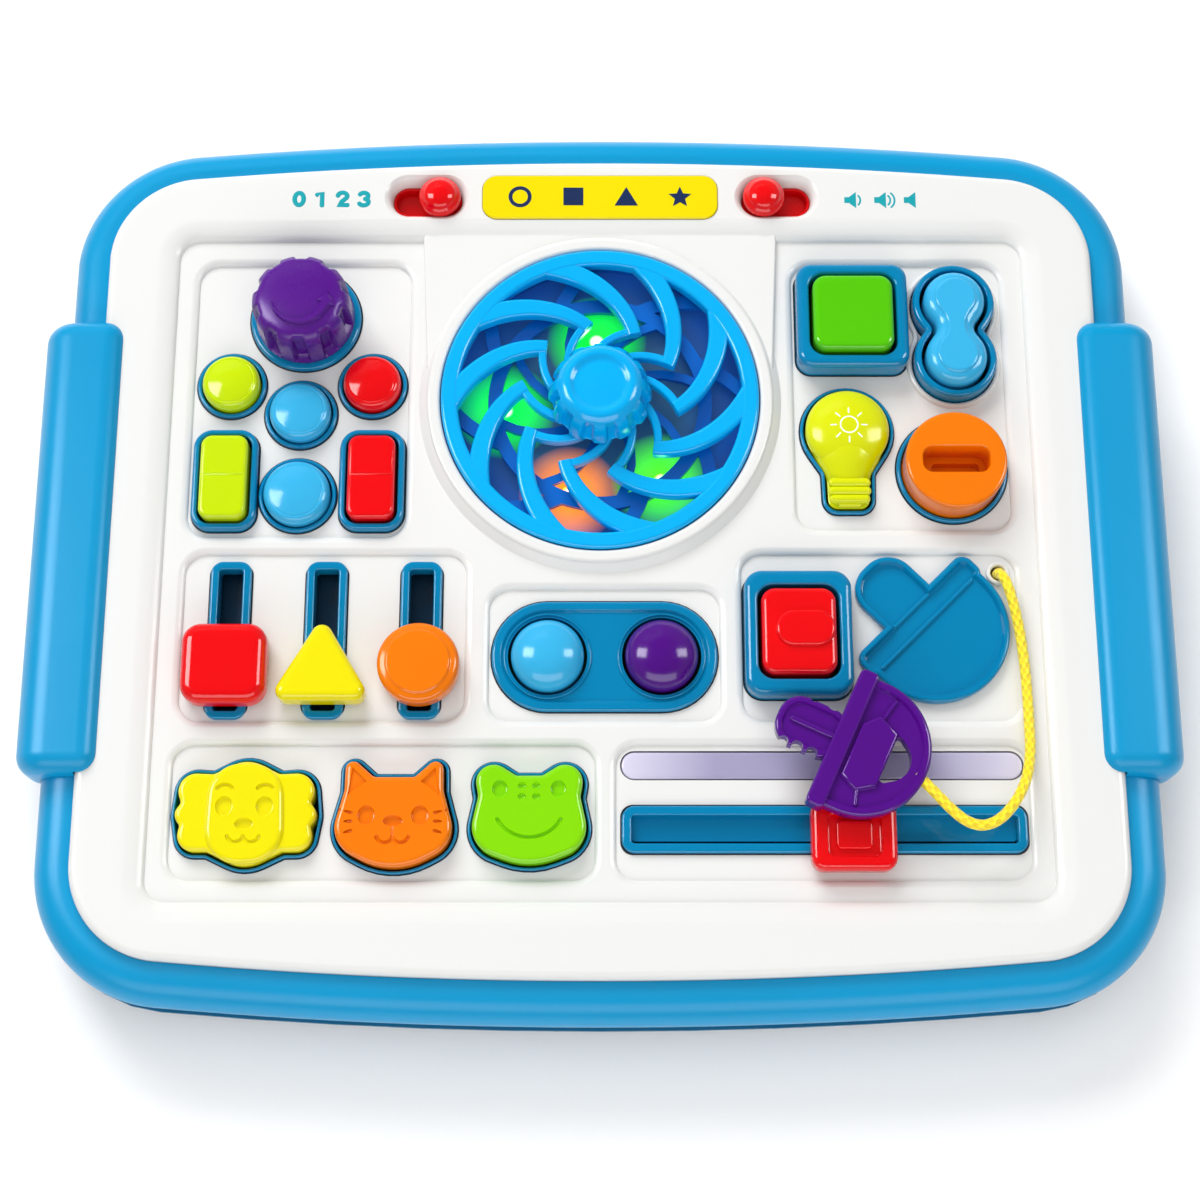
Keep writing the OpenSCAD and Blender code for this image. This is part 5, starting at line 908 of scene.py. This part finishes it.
# Toy key: one purple ABS moulding with a toothed blade, a cross bar and a half-round bow with a hole.
# It lies across the near tray and hangs on the cord, which is bonded into the edge of its bow.
def placed(bm, at, turn):
    """Turns a shape drawn about the origin and carries it to its place."""
    bmesh.ops.rotate(bm, cent=(0, 0, 0), matrix=Matrix.Rotation(math.radians(turn), 3, "Z"), verts=bm.verts)
    bmesh.ops.translate(bm, vec=(at[0] * MM, at[1] * MM, 0), verts=bm.verts)
    return bm


# Glossy ABS: deep purple with sharp lights along its raised borders.
key_abs = moulded("purple_gloss_abs", "#520C86", "#4C0A7E", gloss=0.13)
bow = [(0, -17, 2.5), (5.5, 0, 19.5), (0, 17, 2.5)]
blade = plate((-9, -0.6), 20, 14.6, 6.4)
bar = plate((0, 0), 5.4, 41, 1.6)
key_face = 41.5
bow_blank = drawn(rows(bow, [(-0.6, 36.6), (0, 37.2)] + corner(-1.2, 40.9, 1.2, 0, 90)
                       + [(-2.1, 42.1), (-2.6, 41.3), (-2.8, 41.1)], 5))
bow_hole = drawn(rows([(14.6, -5.8, 1.1), (13.5, 0, 6.5), (14.6, 5.8, 1.1)],
                      [(0, 30), (0, 41.2), (0.5, 41.7), (0.6, 45)]))
blade_blank = drawn(rows(blade, [(-0.5, 37.1), (0, 37.6)] + corner(-1, 41.1, 1, 0, 90)
                         + [(-1.7, 42.1), (-2.1, key_face), (-2.3, 41.3)], 6))
teeth = [turned([(0, 30), (r, 30), (r, 45), (0, 45)], (x, y), 32) for x, y, r in (
    (-14.6, -7.5, 1.4), (-10.5, -7.3, 1.6), (-6.2, -7.3, 1.6), (-11.4, 7, 1), (-5.6, 8.2, 2.2))]
cross = drawn(rows(bar, [(-0.5, 36.1), (0, 36.6)] + corner(-0.9, 42.2, 0.9, 0, 90) + [(-1.3, 43.1)]))
boss_points = [(3.6, -9.6), (8.6, -11.8), (13.4, -8.6), (13.4, 7.2), (7.2, 9.8), (3.6, 6)]
boss = drawn([[((x - 8) * k + 8, (y + 1) * k - 1, z) for x, y in boss_points]
              for k, z in ((1.06, 40.9), (1.02, 42.1), (0.96, 42.5), (0.9, 42.6))])
ribs = [swept([(*start, key_face), (*end, key_face)], r) for start, end, r in (
    ((8.2, 9.6), (9.5, 15.5), 0.55), ((9, -11.6), (10.2, -15.5), 0.55), ((-3, -0.6), (-14.6, -0.6), 0.9))]
key = merged(carved(bow_blank, bow_hole), carved(blade_blank, *teeth), cross, boss, *ribs)
piece("purple_key", placed(key, (66.6, -57.8), -24.6), key_abs, "toy_key", ["toy_key"])

# Key tray: a blue ABS cradle of the key's outline, pressed into the right tray like a bezel, with a
# raised border. Two ridges on its floor hold the key's cross bar.
border = [(2, tray_floor)] + corner(1.1, 29.1, 0.9, 0, 90) + [(0.9, 30)]
hollow = [(-0.5, 28.2), (-0.1, 28.35), (0.2, 29.4), (0.5, 29.85), (0.9, 31)]
tray = drawn(rows(bow, border, 5))
for shape in (blade, bar):
    tray = carved(tray, drawn(rows(shape, [(g, z + 0.002) for g, z in border], 6)), operation="UNION")
tray = carved(tray, *[drawn(rows(shape, hollow, 6)) for shape in (bow, blade, bar)], crossing=True)
ridges = [swept([(x, near, 28.5), (x, far, 28.5)], 0.6)
          for x, near, far in ((2.9, -18.4, 18.4), (-2.9, -7.6, 6.4))]
bezel("key_cradle", placed(merged(tray, *ridges), (91.3, -19.6), -45.3), "key_tray")


# Cord: a limp braid of yellow polyester, 3 mm thick. It is knotted under a white eyelet, lies down
# the right side of the board and goes into the key's edge.
route = [(114.2, -6.6, 26), (114.2, -6.6, 27.2), (114.4, -7.1, 29.7), (115, -8.7, 31.7), (115.6, -10.6, 32.8),
         (116.1, -12.4, 33.2), (117, -15.8, 33), (118, -20.2, 32.3), (118.9, -25, 31.5), (119.5, -30, 31),
         (119.9, -35, 30.8), (120.1, -41, 30.8), (120.2, -47, 30.8), (120.2, -53, 31), (120, -57.6, 31.8),
         (119.4, -61.6, 33.1), (118.5, -65.2, 34.8), (117.1, -69, 36.5), (115, -73, 37.8),
         (112.4, -76.6, 38.4), (109.8, -79.2, 38.7), (107.2, -80.8, 38.9), (104.6, -81.5, 39.1),
         (102.2, -81.3, 39.3), (99.8, -80.3, 39.5), (97.4, -78.6, 39.7), (95, -76.3, 39.8),
         (92.6, -73.7, 39.8), (90.2, -71.1, 39.8), (86.8, -67.4, 39.8)]
cord_r, sides = 1.5, 24
smooth = []
for k in range(len(route) - 1):
    p0, p1, p2, p3 = (Vector(route[min(max(k + i, 0), len(route) - 1)]) for i in (-1, 0, 1, 2))
    for t in (0, 0.25, 0.5, 0.75):
        smooth.append((2 * p1 + (p2 - p0) * t + (2 * p0 - 5 * p1 + 4 * p2 - p3) * t ** 2
                       + (3 * p1 - p0 - 3 * p2 + p3) * t ** 3) / 2)
smooth.append(Vector(route[-1]))
bm = bmesh.new()
wrap = bm.loops.layers.uv.new("braid")
walked, loops = 0, []
for k, p in enumerate(smooth):
    walked += (p - smooth[max(k - 1, 0)]).length
    loops.append((walked, [bm.verts.new(q * MM) for q in around(p, heading(smooth, k), cord_r, sides)]))
for (a, low), (b, high) in zip(loops, loops[1:]):
    for i in range(sides):
        j = (i + 1) % sides
        skin = bm.faces.new((low[i], high[i], high[j], low[j]))
        for loop, (u, v) in zip(skin.loops, ((a, i), (b, i), (b, i + 1), (a, i + 1))):
            loop[wrap].uv = (u / 9.42, v / sides)
bm.faces.new(loops[0][1])
bm.faces.new(loops[-1][1])
bmesh.ops.recalc_face_normals(bm, faces=bm.faces)

# Braided polyester: strands that cross every 3 mm in slanting diamonds, with a soft sheen. The map
# runs once round the cord, and once along each 9.42 mm, which is its girth.
braid, tree, shader = started("braided_polyester")
wrapped = add(tree, "ShaderNodeUVMap", uv_map="braid").outputs["UV"]
parts = add(tree, "ShaderNodeSeparateXYZ", {"Vector": wrapped})
waves = []
for axis, count in (("X", 3), ("Y", 4)):
    turns = add(tree, "ShaderNodeMath", {0: parts.outputs[axis], 1: count * math.tau}, operation="MULTIPLY")
    waves.append(add(tree, "ShaderNodeMath", {0: turns.outputs[0]}, operation="SINE"))
weave = add(tree, "ShaderNodeMath", {0: waves[0].outputs[0], 1: waves[1].outputs[0]}, operation="MULTIPLY")
strand = add(tree, "ShaderNodeMapRange", {"Value": weave.outputs[0], "From Min": -0.7, "From Max": 0.5})
yarn = add(tree, "ShaderNodeMixRGB",
           {"Fac": strand.outputs["Result"], "Color1": linear("#F2CE00"), "Color2": linear("#FFEC10")})
raised = add(tree, "ShaderNodeBump",
             {"Height": strand.outputs["Result"], "Strength": 0.6, "Distance": 0.6 * MM})
tree.links.new(yarn.outputs["Color"], shader.inputs["Base Color"])
tree.links.new(raised.outputs["Normal"], shader.inputs["Normal"])
shader.inputs["Roughness"].default_value = 0.55
shader.inputs["Sheen Weight"].default_value = 0.3
cord = piece("braided_cord", bm, braid, nodes=["key_cord"])
cord.parent = None
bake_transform(cord)

# Eyelet: a white ABS bush pressed into the face, with a round lip that keeps the cord from chafing.
# It is moulded of the same plastic as the shell.
eye = [(2.1, 24), (2.9, 24), (2.9, tray_floor), (3.4, tray_floor)] + corner(2.75, 28.15, 0.65, 0, 180)
piece("cord_eye", turned(eye, eyelet_at, 64, hoop=True), white_abs, nodes=["cord_eyelet"])

# Light bar: a lavender polycarbonate lens, clipped into the near tray from behind. It is flush with
# the tray but for its round edge.
# Lavender polycarbonate: glassy, with a painted sheen that makes it paler towards its ends, from 30 mm off
# its middle.
lens_pc = moulded("lavender_polycarbonate", "#A29DBC", "#9B96B7", ior=1.58)
tree = lens_pc.node_tree
base = tree.nodes["Principled BSDF"].inputs["Base Color"]
place = add(tree, "ShaderNodeTexCoord").outputs["Object"]
along = add(tree, "ShaderNodeSeparateXYZ", {"Vector": place})
middle = add(tree, "ShaderNodeMath", {0: along.outputs["X"], 1: bar_at[0] * MM}, operation="SUBTRACT")
reach = add(tree, "ShaderNodeMath", {0: middle.outputs[0]}, operation="ABSOLUTE")
end_sheen_mask = add(tree, "ShaderNodeMapRange", {"Value": reach.outputs[0], "From Min": 30 * MM, "From Max": 57 * MM})
clear = add(tree, "ShaderNodeMixRGB", {"Fac": end_sheen_mask.outputs["Result"], "Color1": base.links[0].from_socket,
                                       "Color2": linear("#D4D0E6")})
tree.links.new(clear.outputs["Color"], base)
bar_lens = drawn(rows(plate(bar_at, 112.4, 7.6, 3.7), [(1.5, 23.5), (1.5, 24.8), (0, 24.8), (0, 26.8)]
                      + corner(-0.6, 26.8, 0.6, 0, 90) + [(-1.4, 27.5)], 6))
piece("bar_lens", bar_lens, lens_pc, nodes=["light_bar_lens"])


# Label and prints: a yellow ABS plate glued into the far edge, with plain shapes in navy. Numbers and
# sound signs are pad-printed in teal on the white face, and a sun in white on the bulb.
def printed(shapes, name, finish, z, body="console", flat=0.12):
    """Ink on a surface: strokes flattened to a film."""
    film = merged(*shapes)
    bmesh.ops.translate(film, vec=(0, 0, -z * MM), verts=film.verts)
    bmesh.ops.scale(film, vec=(1, 1, flat), verts=film.verts)
    bmesh.ops.translate(film, vec=(0, 0, z * MM), verts=film.verts)
    return piece(name, film, finish, body)


def tile(points, z):
    """Flat printed shape, 1 mm thick before it is flattened."""
    return drawn([level(points, z + h) for h in (-0.5, 0.5)])


# Polished golden ABS for the plate, and pad inks: opaque colours with a satin film.
plate_abs = moulded("golden_polished_abs", "#EAD600", "#E6CF00", gloss=0.12, ior=1.4)
navy_ink = moulded("navy_pad_ink", "#142A55", "#12264E", gloss=0.35)
teal_ink = moulded("teal_pad_ink", "#00A0AA", "#0099A3", gloss=0.35)
white_ink = moulded("white_pad_ink", "#FFFFFF", "#FAFAFA", gloss=0.35)
label_top = 32.5
label_rows = [(0, 31.4), (0, 32.2), (-0.3, label_top), (-0.8, label_top)]
piece("mode_plate", drawn(rows(plate(label_at, 70.6, 14.2, 4.5), label_rows)), plate_abs,
      nodes=["mode_label"])
star = [(24 + r * math.sin(math.pi * k / 5), 110 + r * math.cos(math.pi * k / 5))
        for k, r in enumerate((3.6, 1.6) * 5)]
signs = [swept(arc_path(-24, 110.2, 2.9, 2.9, 0, 352, label_top, 32), 0.6),
         tile([(-11, 107.4), (-5, 107.4), (-5, 113.2), (-11, 113.2)], label_top),
         tile([(4.4, 107.3), (11.4, 107.3), (7.9, 113.4)], label_top), tile(star[::-1], label_top)]
printed(signs, "label_shapes", navy_ink, label_top, flat=0.16)

nx, ny, stroke = -90.4, 109.7, 0.74
one = level([(nx + 5.4, ny + 1.4), (nx + 6.9, ny + 2.1), (nx + 6.9, ny - 2.1)], face_top)
two = (arc_path(nx + 13, ny + 0.9, 1.4, 1.2, 170, -20, face_top)
       + level([(nx + 12.7, ny - 1), (nx + 11.6, ny - 2), (nx + 14.5, ny - 2)], face_top))
digits = [swept(path, stroke) for path in (
    arc_path(nx, ny, 1.35, 2, 90, 440, face_top, 28), one, two,
    arc_path(nx + 19.4, ny + 1, 1.3, 1.05, 150, -70, face_top),
    arc_path(nx + 19.4, ny - 1, 1.45, 1.1, 70, -150, face_top))]
speakers = []
for x, waves in ((76, 1), (85, 2), (93.9, 0)):
    speakers.append(tile([(x - 2.6, 108.4), (x - 1.2, 108.4), (x + 0.9, 106.7), (x + 0.9, 112),
                          (x - 1.2, 110.3), (x - 2.6, 110.3)], face_top))
    for w in range(waves):
        speakers.append(swept(arc_path(x + 0.6, 109.3, 1.6 + 1.3 * w, 1.9 + 1.1 * w, -50, 50, face_top), 0.3))
printed(digits + speakers, "teal_prints", teal_ink, face_top)

sun = [swept(arc_path(bx, by, 2.5, 2.5, 0, 352, bulb_crown, 32), 0.2)]
sun += [swept([(bx + r * math.cos(a), by + r * math.sin(a), bulb_crown) for r in (3.7, 4.2, 4.7, 5.2)], 0.2)
        for a in [math.radians(45 * k) for k in range(8)]]
sun_film = printed(sun, "sun_print", white_ink, bulb_crown, "bulb_button", flat=0.3)
for vert in sun_film.data.vertices:
    reach = math.hypot(vert.co.x / MM - bx, vert.co.y / MM - by) / glass_r
    vert.co.z -= glass_rise * (1 - math.sqrt(1 - reach * reach)) * MM
